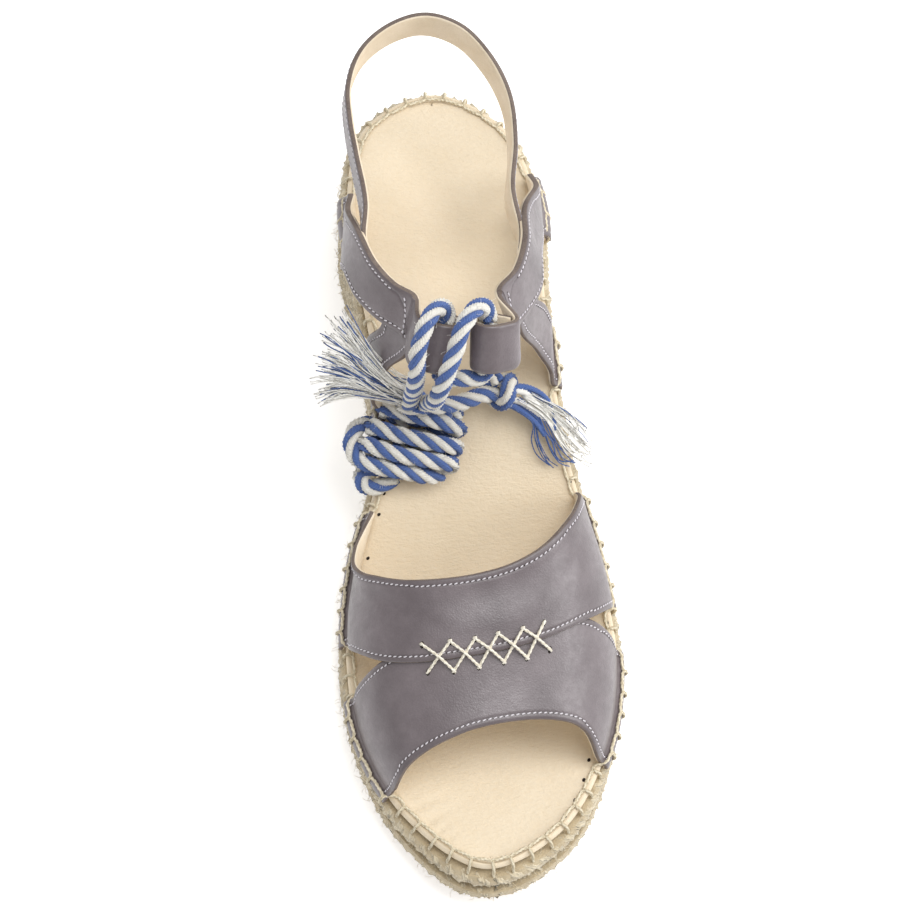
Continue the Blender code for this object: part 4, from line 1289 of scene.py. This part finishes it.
# The lining of a tunnel, round its axis. Columns: towards the shoe's middle, outwards, both in
# tunnel radii; the row starts at the strap, runs round the lace and ends under the strap.
TUNNEL_LOOP = (
    (-2.05, 0.15),
    (-1.15, 0.68),
    (-0.35, 1.00),
    (0.45, 0.88),
    (0.98, 0.10),
    (0.50, -0.85),
    (-0.35, -1.00),
    (-1.10, -0.62),
    (-1.85, -0.22),
)


def strap_point(along, across, rise):
    y = place_along(along)
    return np.array([across * BALL_WIDTH, y, bed_height(y) + rise * INSTEP_HEIGHT])


def strap_columns(rungs, foot, outer, columns):
    """For each column of a strap, the points from its foot at the sole to its last rung."""
    lines = []
    for c in range(columns):
        u = c / (columns - 1)
        y = place_along(foot[0] + (foot[1] - foot[0]) * u)
        line = [margin_point(y, outer, m) for m in range(len(MARGIN) - 1, -1, -1)]
        for _, one, two in rungs:
            a, b = strap_point(*one), strap_point(*two)
            line.append(a + (b - a) * u)
        lines.append(line)
    return lines


def tunnel_points(which, u):
    """The lining of a lace tunnel at a share of its length, from its upper mouth."""
    _, one, two = TUNNELS[which]
    upper, lower = strap_point(*one), strap_point(*two)
    axis = (upper - lower) / np.linalg.norm(upper - lower)
    inward = np.array([1.0 if which == 0 else -1.0, 0.0, 0.0])
    inward -= axis * (inward @ axis)
    inward /= np.linalg.norm(inward)
    outward = np.cross(axis, inward)
    outward *= math.copysign(1.0, outward[2])
    centre = upper + (lower - upper) * u
    return [centre + (inward * a + outward * b) * TUNNEL_RADIUS for a, b in TUNNEL_LOOP]


def strap_grid(lines, rows):
    return np.stack([smooth_path(line, rows) for line in lines], axis=1)


def leather_grid(grid, outer):
    """The grid turned so that the outer side of the leather faces out."""
    return grid[:, ::-1] if outer else grid


def under_strap(grid, outer, along, across):
    """A point under a strap's lining, far enough in for the leathers to be sewn together there."""
    high, wide = grid.shape[:2]
    r, c = along * (high - 1), across * (wide - 1)
    r0, c0 = min(int(r), high - 2), min(int(c), wide - 2)
    fr, fc = r - r0, c - c0
    low = grid[r0, c0] * (1 - fc) + grid[r0, c0 + 1] * fc
    high_row = grid[r0 + 1, c0] * (1 - fc) + grid[r0 + 1, c0 + 1] * fc
    normal = np.cross(high_row - low, grid[r0, c0 + 1] - grid[r0, c0])
    normal *= (1.0 if outer else -1.0) / np.linalg.norm(normal)
    return low + (high_row - low) * fr - normal * 0.6 * LEATHER


def make_quarter(name, which, strap, strap_foot, leg, leg_foot, leg_top, outer):
    """A quarter's strap with its tunnel and its leg, both stitched along their sides."""
    lines = strap_columns(strap, strap_foot, outer, STRAP_COLUMNS)
    strap_ends = np.array([line[-1] for line in lines])
    for c, line in enumerate(lines):
        line += tunnel_points(which, c / (STRAP_COLUMNS - 1))
    grid = strap_grid(lines, STRAP_ROWS)
    along = run_over(grid, 0)
    end_rows = np.argmin(np.linalg.norm(grid - strap_ends[None], axis=2), axis=0)
    end_run = along[end_rows, np.arange(STRAP_COLUMNS)] + END_REACH
    raised = END_STEP / (1 + np.exp((along - end_run) / (0.16 * MM)))
    side = slice(None, None, -1) if outer else slice(None)
    end_mean = float(np.mean(end_run))
    piece, top, normals = leather_sheet("quarter_" + name, leather_grid(grid, outer), UPPER_LOOKS, 1,
                                        end_mean - 2.6 * MM, raised[:, side], ("first row",))
    keep(piece, "upper_leather", "rear_upper")
    seams = both_sides(top, normals, 1, LEG_SEAM_START, end_mean - 1 * MM)
    end_row = int(np.mean(end_rows))
    step = along[1, 0]
    row = end_row - int(1.0 * MM / step)
    across = run_along(top[row])
    wanted = np.arange(2.8 * MM, across[-1] - 2.4 * MM, BAND_STITCH)
    spots = np.stack([np.interp(wanted, across, top[row, :, i]) for i in range(3)], axis=1)
    out = np.stack([np.interp(wanted, across, normals[row, :, i]) for i in range(3)], axis=1)
    seams.append((spots, out))
    sew("quarter_" + name, seams)
    lines = strap_columns(leg, leg_foot, outer, LEG_COLUMNS)
    for c, line in enumerate(lines):
        at = leg_top[0] + (leg_top[1] - leg_top[0]) * c / (LEG_COLUMNS - 1)
        line += [under_strap(grid, outer, at, LAP_EDGE), under_strap(grid, outer, at, LAP_END)]
    leg_grid = leather_grid(strap_grid(lines, LEG_ROWS), outer)
    piece, top, normals = leather_sheet("leg_" + name, leg_grid, UPPER_LOOKS, 1, pinked=("first row",))
    keep(piece, "upper_leather", "rear_upper")
    sew("leg_" + name, both_sides(top, normals, 1, LEG_SEAM_START))
    return grid


inner_quarter = (INNER_STRAP, INNER_STRAP_FOOT, INNER_LEG, INNER_LEG_FOOT, INNER_LEG_TOP)
outer_quarter = (OUTER_STRAP, OUTER_STRAP_FOOT, OUTER_LEG, OUTER_LEG_FOOT, OUTER_LEG_TOP)
inner_grid = make_quarter("inner", 0, *inner_quarter, False)
outer_grid = make_quarter("outer", 1, *outer_quarter, True)


# Heel strap
# One strap round the back of the heel, of the same leather lined with tan suede. Its ends are sewn
# inside the quarters, and it leans back a little where the heel pushes it out.

HEEL_STRAP_WIDTH = 14 * MM
HEEL_STRAP_RISE = 64 * MM
HEEL_STRAP_LEAN = 0.8 * MM
HEEL_STRAP_LAP = (0.44, 0.52)
HEEL_STRAP_ROWS = 30
HEEL_STRAP_COLUMNS = 330
HEEL_SEAM_START = 9 * MM

# The heel strap's upper edge. Columns: name, share of length, share of ball width,
# height above the heel's footbed as a share of the strap's rise
HEEL_STRAP = (
    ("inner front", 0.205, -0.290, 0.625),
    ("inner side", 0.145, -0.310, 0.700),
    ("inner rear", 0.105, -0.323, 0.755),
    ("inner corner", 0.070, -0.322, 0.825),
    ("inner back", 0.034, -0.270, 0.920),
    ("back inner", 0.010, -0.160, 0.980),
    ("back", 0.003, -0.040, 1.000),
    ("back outer", 0.018, 0.075, 0.985),
    ("outer back", 0.052, 0.168, 0.930),
    ("outer corner", 0.095, 0.228, 0.855),
    ("outer rear", 0.150, 0.240, 0.755),
    ("outer side", 0.205, 0.218, 0.675),
)


def heel_strap_grid():
    first, last = HEEL_STRAP_LAP
    grid = []
    for u in np.linspace(0.0, 1.0, HEEL_STRAP_ROWS):
        drop = np.array([-HEEL_STRAP_LEAN * u, 0.0, -HEEL_STRAP_WIDTH * u])
        across = 0.1 + 0.75 * u
        path = [under_strap(inner_grid, False, at, across) for at in (last, first)]
        for _, along, sideways, rise in HEEL_STRAP:
            spot = (sideways * BALL_WIDTH, place_along(along), HEEL_HEIGHT + rise * HEEL_STRAP_RISE)
            path.append(np.array(spot) + drop)
        path += [under_strap(outer_grid, True, at, across) for at in (first, last)]
        grid.append(smooth_path(path, HEEL_STRAP_COLUMNS))
    return np.array(grid)


strap_looks = [UPPER, SUEDE, LINING, RAW]
heel_strap, top, normals = leather_sheet("heel_strap", heel_strap_grid(), strap_looks, 0)
keep(heel_strap, "upper_leather", "rear_upper")
sew("heel_strap", both_sides(top, normals, 0, HEEL_SEAM_START))


# Blanket stitch round the sole
# Thick twisted thread sewn round the edge by hand: a chain lies along the footbed, or on the feet of
# the leather, and a leg from each link goes down over the folded cover into the jute.

LINK = 7.0 * MM
EDGE_THREAD = 1.05 * MM
EDGE_TWIST = 3.0 * MM

# Where leather feet stand on the sole's edge, in shares of the footbed's length
INNER_FEET = ((0.138, 0.225), (0.355, 0.425), (0.532, 0.696), (0.767, 0.897))
OUTER_FEET = ((0.130, 0.208), (0.325, 0.397), (0.530, 0.674), (0.731, 0.877))

# One leg, from the chain outwards and down.
# Columns: out from the footbed's edge and up from its top, bare; then the same over a leather foot
LEG_ROUTE = (
    (-1.75, 0.10, 2.10, 1.50),
    (-1.00, 0.60, 2.70, 0.60),
    (0.00, 0.45, 3.10, -0.60),
    (0.75, -0.60, 3.30, -2.00),
    (1.00, -2.20, 3.30, -3.40),
    (0.90, -4.20, 2.60, -4.90),
    (0.60, -5.60, 1.60, -6.20),
)


def on_leather():
    """For each point of the sole's edge, 1 where a leather foot stands on it and 0 where bare."""
    share = share_along(EDGE[:, 1])
    tip = int(np.argmin(EDGE[:, 1]))
    inner = EDGE[:, 0] < np.interp(share, (0.0, 1.0), (EDGE[np.argmax(EDGE[:, 1]), 0], EDGE[tip, 0]))
    covered = np.zeros(len(EDGE))
    for side, feet in ((inner, INNER_FEET), (~inner, OUTER_FEET)):
        for start, end in feet:
            inside = np.minimum(share - start, end - share) * FOOTBED_LENGTH
            edge = np.clip((inside + 1.5 * MM) / (2.5 * MM), 0, 1)
            covered = np.maximum(covered, np.where(side, edge * edge * (3 - 2 * edge), 0.0))
    return covered


def edge_spot(run, at, away_bare, up_bare, away_leather, up_leather):
    """A point beside the sole's edge at a distance round it, blended between bare and leather."""
    at = at % run[-1]
    x, y = (np.interp(at, run, EDGE[:, k]) for k in range(2))
    out = np.array([np.interp(at, run, EDGE_OUT[:, k]) for k in range(2)])
    share = np.interp(at, run, COVERED)
    away = (away_bare + (away_leather - away_bare) * share) * MM
    up = (up_bare + (up_leather - up_bare) * share) * MM
    flare = JUTE_TOE_FLARE * 0.4 * toe_flare(y) * max(0.0, -up / (6 * MM))
    spot = np.array([x, y]) + out * (away + flare)
    return np.array([spot[0], spot[1], bed_height(y) + up])


COVERED = on_leather()


def blanket_stitch():
    run = run_along(EDGE)
    links = round(run[-1] / LINK)
    chance = np.random.default_rng(3)
    parts = []
    for k in range(links):
        start, end = (run[-1] * (k + j) / links for j in (0.0, 1.0))
        start += chance.uniform(-0.5, 0.5) * MM
        lean = chance.uniform(-0.4, 1.0) * MM
        sag = chance.uniform(0.1, 0.5)
        chain = [edge_spot(run, start, -1.5, 0.35, 2.35, 1.35)]
        for share in (0.2, 0.4, 0.6, 0.8):
            inset = -1.8 - sag * math.sin(math.pi * share)
            chain.append(edge_spot(run, start + (end - start) * share, inset, 0.42, 1.75 - 0.4 * sag, 1.95))
        chain.append(edge_spot(run, end + 0.4 * MM, -1.75, 0.15, 2.1, 1.35))
        leg = [edge_spot(run, start + lean * j / 6, *step) for j, step in enumerate(LEG_ROUTE)]
        for route in (chain, leg):
            path = smooth_path(route, 16 if route is chain else 22)
            parts.append((*twisted_strand(path, EDGE_THREAD / 2, 2, 0.2, EDGE_TWIST, 8), 0))
    return mesh_piece("edge_stitching", parts, [FLAX])


keep(blanket_stitch(), "jute")

AWL_HOLE = (1.5 * MM, 1.15 * MM, 0.4 * MM)

# Holes of the awl beside the footbed's edge that no thread fills, in millimetres
AWL_HOLES = (
    (-26.0, -2.0),
    (-28.2, -8.2),
    (-32.9, -21.5),
    (35.0, -3.1),
    (43.2, -48.6),
    (32.5, -93.7),
    (30.1, -100.2),
    (26.5, -106.7),
    (22.7, -111.7),
)


def awl_holes():
    spots = [(x * MM, y * MM, float(bed_top(x * MM, y * MM))) for x, y in AWL_HOLES]
    along, out = [(0.5, 1.0, 0.0)] * len(spots), [(0.0, 0.0, 1.0)] * len(spots)
    return stitch_row("footbed_awl_holes", spots, along, out, AWL_HOLE, HOLE)


keep(awl_holes(), "footbed_leather")


# Rope lace
# A laid cotton rope of two blue and two white plies. It comes up through both tunnels in two loops,
# and the rest is wound into a hank on the footbed, with an overhand knot in its outer tail.

ROPE = 5.4 * MM
ROPE_LAY = 18.5 * MM
PLY_TWIST = 5.6 * MM

# Routes in millimetres, along the middle of the rope as it lies
LACE_BAR = (
    (-5.4, 29.4, 104.3),
    (-8.3, 19.2, 94.4),
    (-8.4, 18.0, 93.2),
    (-5.8, 16.8, 91.4),
    (-1.2, 16.2, 91.1),
    (3.8, 15.9, 91.5),
    (6.2, 16.6, 92.9),
    (6.8, 18.0, 95.1),
    (7.6, 28.8, 105.4),
)
LOOP_INNER = (
    (-5.2, 30.1, 105.0),
    (-4.9, 31.4, 106.3),
    (-6.0, 33.2, 110.4),
    (-8.6, 31.8, 113.6),
    (-12.4, 26.0, 115.1),
    (-15.0, 20.2, 110.9),
    (-15.6, 16.3, 104.6),
    (-15.9, 15.1, 92.4),
    (-16.3, 17.6, 74.0),
    (-16.4, 19.0, 60.0),
)
LOOP_OUTER = (
    (7.7, 29.5, 106.1),
    (7.8, 30.9, 107.4),
    (6.8, 32.4, 111.2),
    (3.6, 30.9, 114.4),
    (-0.6, 25.6, 115.0),
    (-4.2, 18.2, 109.0),
    (-7.4, 12.4, 102.1),
    (-9.4, 11.2, 89.4),
    (-10.3, 14.6, 74.2),
    (-11.4, 17.9, 63.0),
)
TAIL = (
    (-18.5, 19.5, 57.0),
    (-15.5, 18.2, 60.4),
    (-11.5, 17.7, 61.4),
    (-7.0, 17.6, 60.4),
    (-3.0, 18.3, 58.8),
    (3.0, 20.2, 56.0),
    (8.4, 22.4, 53.8),
)

# The overhand knot, from its middle: right, up and towards the eye of someone looking down on it
KNOT_PLACE = (13.0, 23.6, 51.8)
KNOT_ROUTE = (
    (-1.2, -0.9, 0.6),
    (2.6, -1.6, -1.8),
    (4.4, 0.8, -2.2),
    (3.8, 3.6, 0.0),
    (2.9, 2.2, 3.0),
    (2.7, -1.4, 3.4),
    (1.4, -3.9, 1.2),
    (-0.8, -2.8, -2.0),
    (-2.8, 0.6, -2.4),
    (-3.4, 3.4, -0.2),
    (-1.4, 4.3, 1.8),
    (0.2, 2.6, 2.6),
)

# The turns of the hank. Columns: name, then across, along and height above the footbed in
# millimetres at the left end, twice over the top, and at the right end
HANK_TURNS = (
    ("behind the loops", (-19.0, 23.6, 9.5), (-14.0, 21.8, 11.5), (-6.5, 19.6, 10.6), (-1.0, 18.0, 7.0)),
    ("under the loops", (-24.5, 20.8, 9.2), (-16.4, 17.6, 11.8), (-7.2, 14.8, 11.8), (-0.4, 13.2, 8.0)),
    ("second", (-29.0, 15.8, 9.2), (-20.7, 11.9, 12.4), (-10.6, 8.8, 12.6), (-1.8, 7.4, 8.4)),
    ("third", (-31.6, 11.0, 8.8), (-24.0, 7.0, 12.2), (-14.3, 4.3, 12.2), (-3.6, 2.7, 8.0)),
)
HANK_LAST_BIGHT = (
    (-16.0, 6.5, 3.0),
    (-26.0, 14.0, 3.2),
    (-29.0, 17.6, 4.8),
    (-33.2, 16.6, 6.8),
    (-35.8, 12.0, 7.8),
    (-34.2, 6.6, 8.4),
    (-27.2, 3.4, 9.8),
    (-19.0, 1.2, 9.8),
    (-10.6, 0.2, 6.6),
    (-7.6, 1.4, 3.6),
    (-16.0, 2.6, 3.0),
    (-25.0, 4.2, 3.0),
    (-30.6, 4.8, 3.4),
    (-33.4, 2.6, 3.8),
    (-32.0, -0.6, 3.6),
    (-28.0, -0.8, 3.2),
    (-22.0, 1.6, 3.0),
)


def cotton(name, dark, light):
    look, tree, shader = start_material(name, 0.88)
    hair = mottle(tree, object_place(tree), 0.32 * MM)
    cloud = mottle(tree, object_place(tree), 7 * MM)
    line = yarn_lines(tree, (620.0, 1500.0), 0.6)
    # Darker in the grooves between the yarn lines, which is painted shade, with random fine and broad mottle.
    shade = calculate(tree, "MULTIPLY_ADD", line, 0.45, calculate(tree, "MULTIPLY", hair, 0.4))
    shade = calculate(tree, "MULTIPLY_ADD", cloud, 0.15, shade)
    finish_material(tree, shader, between(tree, shade, dark, light), shade, 0.3 * MM)
    shader.inputs["Sheen Weight"].default_value = 0.2
    shader.inputs["Sheen Roughness"].default_value = 0.5
    return look


BLUE = cotton("blue cotton", srgb(44, 70, 134), srgb(100, 132, 196))
WHITE = cotton("white cotton", srgb(226, 221, 208), srgb(255, 253, 247))
# The frayed threads take a lighter copy of the white cotton: painted light against the shade they cast on
# each other.
THREADS = [BLUE, cotton("loose white cotton", srgb(250, 247, 238), srgb(255, 254, 250))]


def laid_rope(path, phase):
    """Four plies laid round a line, blue and white in turn, each twisted the other way."""
    across, up = carried_frame(path)
    run = run_along(path)
    radius = ROPE / 2
    plies = []
    for k in range(4):
        turn = phase + 2 * np.pi * (k / 4 + run / ROPE_LAY)
        offset = np.cos(turn)[:, None] * across + np.sin(turn)[:, None] * up
        slack = 1 + 0.035 * np.sin(run / (3.7 * MM) + 1.9 * k) + 0.02 * np.sin(run / (1.3 * MM) + k)
        ply = path + 0.57 * radius * slack[:, None] * offset
        fat = (0.45 + 0.03 * (k % 2)) * radius * slack
        plies.append((*twisted_strand(ply, fat, 6, 0.13, -PLY_TWIST, 20), k % 2))
    return plies


def even_route(route, step=0.8 * MM):
    """A smooth route through points in millimetres, with rings of the rope step apart."""
    rough = smooth_path(np.asarray(route, float) * MM, 60)
    return smooth_path(np.asarray(route, float) * MM, int(run_along(rough)[-1] / step))


def hank_route():
    """All turns of the hank in millimetres: over the top to the right, and back underneath."""
    spots = [(-12.6, 20.4, 17.0)]
    for k, (_, left, one, two, right) in enumerate(HANK_TURNS):
        spots += [left, one, two, right]
        spots.append((right[0] - 3.0, right[1] + 0.6, 3.6))
        if k + 1 < len(HANK_TURNS):
            after = HANK_TURNS[k + 1][1]
            spots.append((after[0] + 5.0, after[1] - 1.4, 3.2))
    spots += HANK_LAST_BIGHT
    return [(x, y, bed_height(y * MM) / MM + z) for x, y, z in spots]


def knot_route():
    """The tail and the knot in it; the knot's points are turned to face whoever looks down."""
    tilt = Matrix.Rotation(math.radians(17.0), 3, "X")
    knot = [Vector(KNOT_PLACE) + tilt @ Vector(spot) for spot in KNOT_ROUTE]
    return [*TAIL, *[tuple(spot) for spot in knot]]


lace_paths = {
    "lace_bar": even_route(LACE_BAR),
    "lace_loop_inner": even_route(LOOP_INNER),
    "lace_loop_outer": even_route(LOOP_OUTER),
    "lace_hank": even_route(hank_route()),
    "lace_tail": even_route(knot_route()),
}
PHASES = {"lace_loop_inner": 0.4, "lace_loop_outer": 1.1, "lace_tail": 0.6}
ROPE_HAIRS = {"Per Square Metre": 30000.0, "Length": 1.5 * MM, "Thickness": 0.035 * MM, "Look": WHITE}
lace = {}
for node, path in lace_paths.items():
    plies = laid_rope(path, PHASES.get(node, 0.0))
    lace[node] = mesh_piece("rope_" + node[5:], plies, [BLUE, WHITE])
    replaced = ("lace_tail", "lace_knot") if node == "lace_tail" else (node,)
    keep(lace[node], "rope", *replaced)
    keep(grow(lace[node], FIBRES, "rope_hairs_" + node[5:], ROPE_HAIRS), "rope")


# Frayed ends of the lace
# Both ends of the rope are left to come apart. The inner one fans out in white and blue threads over
# the footbed's inner edge, the outer one parts into loose plies first and then into threads.

YARN = 0.42 * MM
YARN_TWIST = 5 * MM

# Lines that the threads keep between, in millimetres, from the root outwards
INNER_FAN = (
    ((-16.5, 20.8, 62.0), (-22.0, 20.4, 64.4), (-30.0, 20.6, 67.4), (-39.0, 21.4, 67.0), (-48.0, 20.0, 63.4)),
    ((-16.5, 21.2, 62.8), (-22.2, 21.6, 66.4), (-29.6, 22.8, 71.2), (-38.6, 26.6, 72.8), (-48.0, 30.0, 69.0)),
    ((-16.4, 21.6, 63.8), (-21.8, 22.8, 68.2), (-28.2, 25.6, 74.6), (-35.6, 32.0, 77.8), (-44.0, 40.5, 74.0)),
    ((-16.2, 22.0, 64.6), (-20.8, 23.8, 70.0), (-25.8, 28.0, 77.0), (-31.0, 36.0, 82.6), (-36.0, 48.0, 80.0)),
)
OUTER_FAN = (
    ((18.6, 19.4, 50.0), (23.6, 15.0, 46.4), (22.8, 10.2, 42.4), (23.8, 6.6, 39.4), (27.5, 2.0, 37.0)),
    ((19.4, 19.6, 50.2), (25.4, 14.2, 46.2), (28.0, 7.6, 40.8), (31.0, 2.4, 37.6), (37.5, 0.4, 36.4)),
    ((20.2, 20.8, 50.8), (27.2, 15.8, 47.0), (31.4, 9.0, 42.0), (35.0, 4.0, 38.8), (41.6, 1.8, 37.0)),
    ((21.2, 21.8, 51.6), (28.8, 17.2, 48.0), (34.0, 12.0, 44.2), (38.4, 7.6, 41.2), (43.6, 2.2, 39.0)),
    ((22.6, 22.6, 52.4), (30.0, 19.0, 49.6), (35.0, 16.6, 47.4), (38.8, 13.0, 44.8), (42.5, 8.0, 42.6)),
)

# Columns: name, colour (0 blue, 1 white), number of threads, from and to as places across the fan
INNER_BUNCHES = (
    ("low white", 1, 34, -0.04, 0.12),
    ("low blue", 0, 6, 0.06, 0.20),
    ("wide white", 1, 40, 0.16, 0.36),
    ("middle blue", 0, 14, 0.32, 0.48),
    ("middle white", 1, 26, 0.38, 0.58),
    ("upper blue", 0, 8, 0.54, 0.70),
    ("upper white", 1, 46, 0.66, 0.98),
    ("top blue", 0, 7, 0.86, 1.02),
)
OUTER_BUNCHES = (
    ("low blue", 0, 6, 0.00, 0.16),
    ("blue", 0, 9, 0.22, 0.55),
    ("white", 1, 44, 0.50, 0.98),
    ("stray blue", 0, 3, 0.85, 1.00),
)

# Unlaid plies of the outer end. Columns: name, colour, radius at the knot in millimetres, points
LOOSE_PLIES = (
    ("white arch", 1, 1.25,
     ((14.6, 21.6, 52.4), (18.3, 22.9, 53.6), (21.6, 22.3, 52.6), (24.9, 19.5, 50.3), (29.2, 16.2, 47.1))),
    ("blue arch", 0, 1.1,
     ((14.8, 22.2, 53.4), (19.4, 24.0, 54.0), (24.9, 23.0, 52.2), (28.8, 20.2, 49.7), (30.4, 16.3, 47.1),
      (30.9, 11.6, 43.9))),
    ("blue below", 0, 1.2,
     ((14.2, 20.4, 50.4), (17.2, 19.2, 49.8), (20.4, 17.4, 48.4), (24.4, 14.2, 45.9), (27.4, 10.2, 42.8))),
    ("white below", 1, 1.15,
     ((14.4, 21.0, 51.0), (19.0, 20.4, 50.8), (23.4, 18.0, 48.8), (27.2, 15.2, 46.4), (31.0, 12.2, 44.0))),
)


def frayed_threads(fan, bunches, root_spread, end_spread, seed):
    """Thin wavy threads between the lines of a fan, in bunches of one colour."""
    chance = np.random.default_rng(seed)
    lines = np.stack([smooth_path(np.array(line) * MM, 26) for line in fan])
    parts = []
    for _, colour, count, start, end in bunches:
        for _ in range(count):
            at = np.clip(chance.uniform(start, end), -0.05, 1.05) * (len(fan) - 1)
            k = int(np.clip(at, 0, len(fan) - 2))
            path = lines[k] + (lines[k + 1] - lines[k]) * (at - k)
            share = np.linspace(0.0, 1.0, len(path))[:, None]
            offset = chance.normal(size=3) * root_spread * MM
            drift = chance.normal(size=3) * end_spread * MM
            path = path + offset * (1 - share) ** 1.5 + drift * share**1.6
            for _ in range(2):
                side = chance.normal(size=3) * MM
                wave = np.sin(2 * np.pi * (share * chance.uniform(0.6, 2.6) + chance.uniform()))
                path = path + side * 0.38 * wave * share
            length = chance.uniform(0.72, 1.0)
            path = smooth_path(path[: max(6, int(len(path) * length))], 24)
            path[:, 2] = np.maximum(path[:, 2], bed_height(path[:, 1]) + 0.5 * MM)
            radius = YARN / 2 * chance.uniform(0.75, 1.25)
            parts.append((*twisted_strand(path, radius, 0, 0.0, YARN_TWIST, 5), colour))
    return parts


def loose_plies():
    parts = []
    for _, colour, radius, route in LOOSE_PLIES:
        path = even_route(route, 0.6 * MM)
        share = np.linspace(0.0, 1.0, len(path))
        taper = radius * MM * (1 - 0.45 * share)
        parts.append((*twisted_strand(path, taper, 5, 0.16, -PLY_TWIST, 15), colour))
    return parts


inner_end = mesh_piece("rope_end_inner", frayed_threads(INNER_FAN, INNER_BUNCHES, 1.5, 1.3, 11), THREADS)
outer_parts = frayed_threads(OUTER_FAN, OUTER_BUNCHES, 0.8, 1.0, 23) + loose_plies()
outer_end = mesh_piece("rope_end_outer", outer_parts, THREADS)
keep(inner_end, "rope", "lace_end_inner")
keep(outer_end, "rope", "lace_end_outer")

for node, far_end, lay, more in (
    ("lace_loop_inner", "object", "loose", ()),
    ("lace_loop_outer", "object", "loose", ()),
    ("lace_hank", "bare", "coiled", (inner_end,)),
    ("lace_tail", "knot", "loose", (outer_end,)),
):
    path = lace_paths[node]


# Floor, light and camera
# A plain white floor that glows a little, so that shadows stay faint, soft light from all round with
# one large lamp above and one to the right, and a camera that looks steeply down from beyond the toe.

CAMERA_PLACE = (-0.0758083, -0.3178016, 1.1110613)
CAMERA_TURN = math.radians(-4.7)
CAMERA_DOWN = math.radians(73.0)
LENS = 134.05
SENSOR = 36.0
PICTURE_SHIFT = 150 / 923
FLOOR_GLOW = 0.45
SKY_STRENGTH = 0.62
FLOOR_HALF = 4

# Columns: name, place, size and power in watts; both lamps point at the middle of the shoe
LAMPS = (
    ("main light", (0.25, 0.12, 1.35), 0.7, 9.8),
    ("side light", (0.9, -0.1, 0.6), 0.6, 5.0),
)
SHOE_MIDDLE = (0.0, 0.0, 0.05)


def turned(x, y, z):
    turn = Matrix.Rotation(CAMERA_TURN, 3, "Z")
    return turn @ Vector((x, y, z))


camera = bpy.data.cameras.new("camera")
camera.lens = LENS
camera.sensor_width = SENSOR
camera.shift_x = PICTURE_SHIFT
camera.clip_start = 0.01
eye = put_in_scene("camera", camera)
right = turned(1, 0, 0)
up = turned(0, math.sin(CAMERA_DOWN), math.cos(CAMERA_DOWN))
back = -turned(0, math.cos(CAMERA_DOWN), -math.sin(CAMERA_DOWN))
axes = Matrix((right, up, back)).transposed()
eye.matrix_world = Matrix.Translation(CAMERA_PLACE) @ axes.to_4x4()
bpy.context.scene.camera = eye

floor_mesh = bpy.data.meshes.new("floor")
corners = [(x * FLOOR_HALF, y * FLOOR_HALF, 0) for x, y in ((-1, -1), (1, -1), (1, 1), (-1, 1))]
floor_mesh.from_pydata(corners, [], [(0, 1, 2, 3)])
floor = put_in_scene("floor", floor_mesh)
paper, _, paper_shader = start_material("white paper", 0.9)
paper_shader.inputs["Base Color"].default_value = (0.92, 0.92, 0.92, 1.0)
paper_shader.inputs["Emission Color"].default_value = (1.0, 1.0, 1.0, 1.0)
paper_shader.inputs["Emission Strength"].default_value = FLOOR_GLOW
floor_mesh.materials.append(paper)

world = bpy.data.worlds.new("studio")
world.use_nodes = True
sky = world.node_tree.nodes["Background"].inputs
sky["Color"].default_value = (1.0, 1.0, 1.0, 1.0)
sky["Strength"].default_value = SKY_STRENGTH
bpy.context.scene.world = world

for name, place, size, power in LAMPS:
    light = bpy.data.lights.new(name, "AREA")
    light.size = size
    light.energy = power
    lamp = put_in_scene(name, light)
    lamp.location = place
    lamp.rotation_euler = (Vector(SHOE_MIDDLE) - Vector(place)).to_track_quat("-Z", "Y").to_euler()
bpy.context.scene.view_settings.view_transform = "Standard"
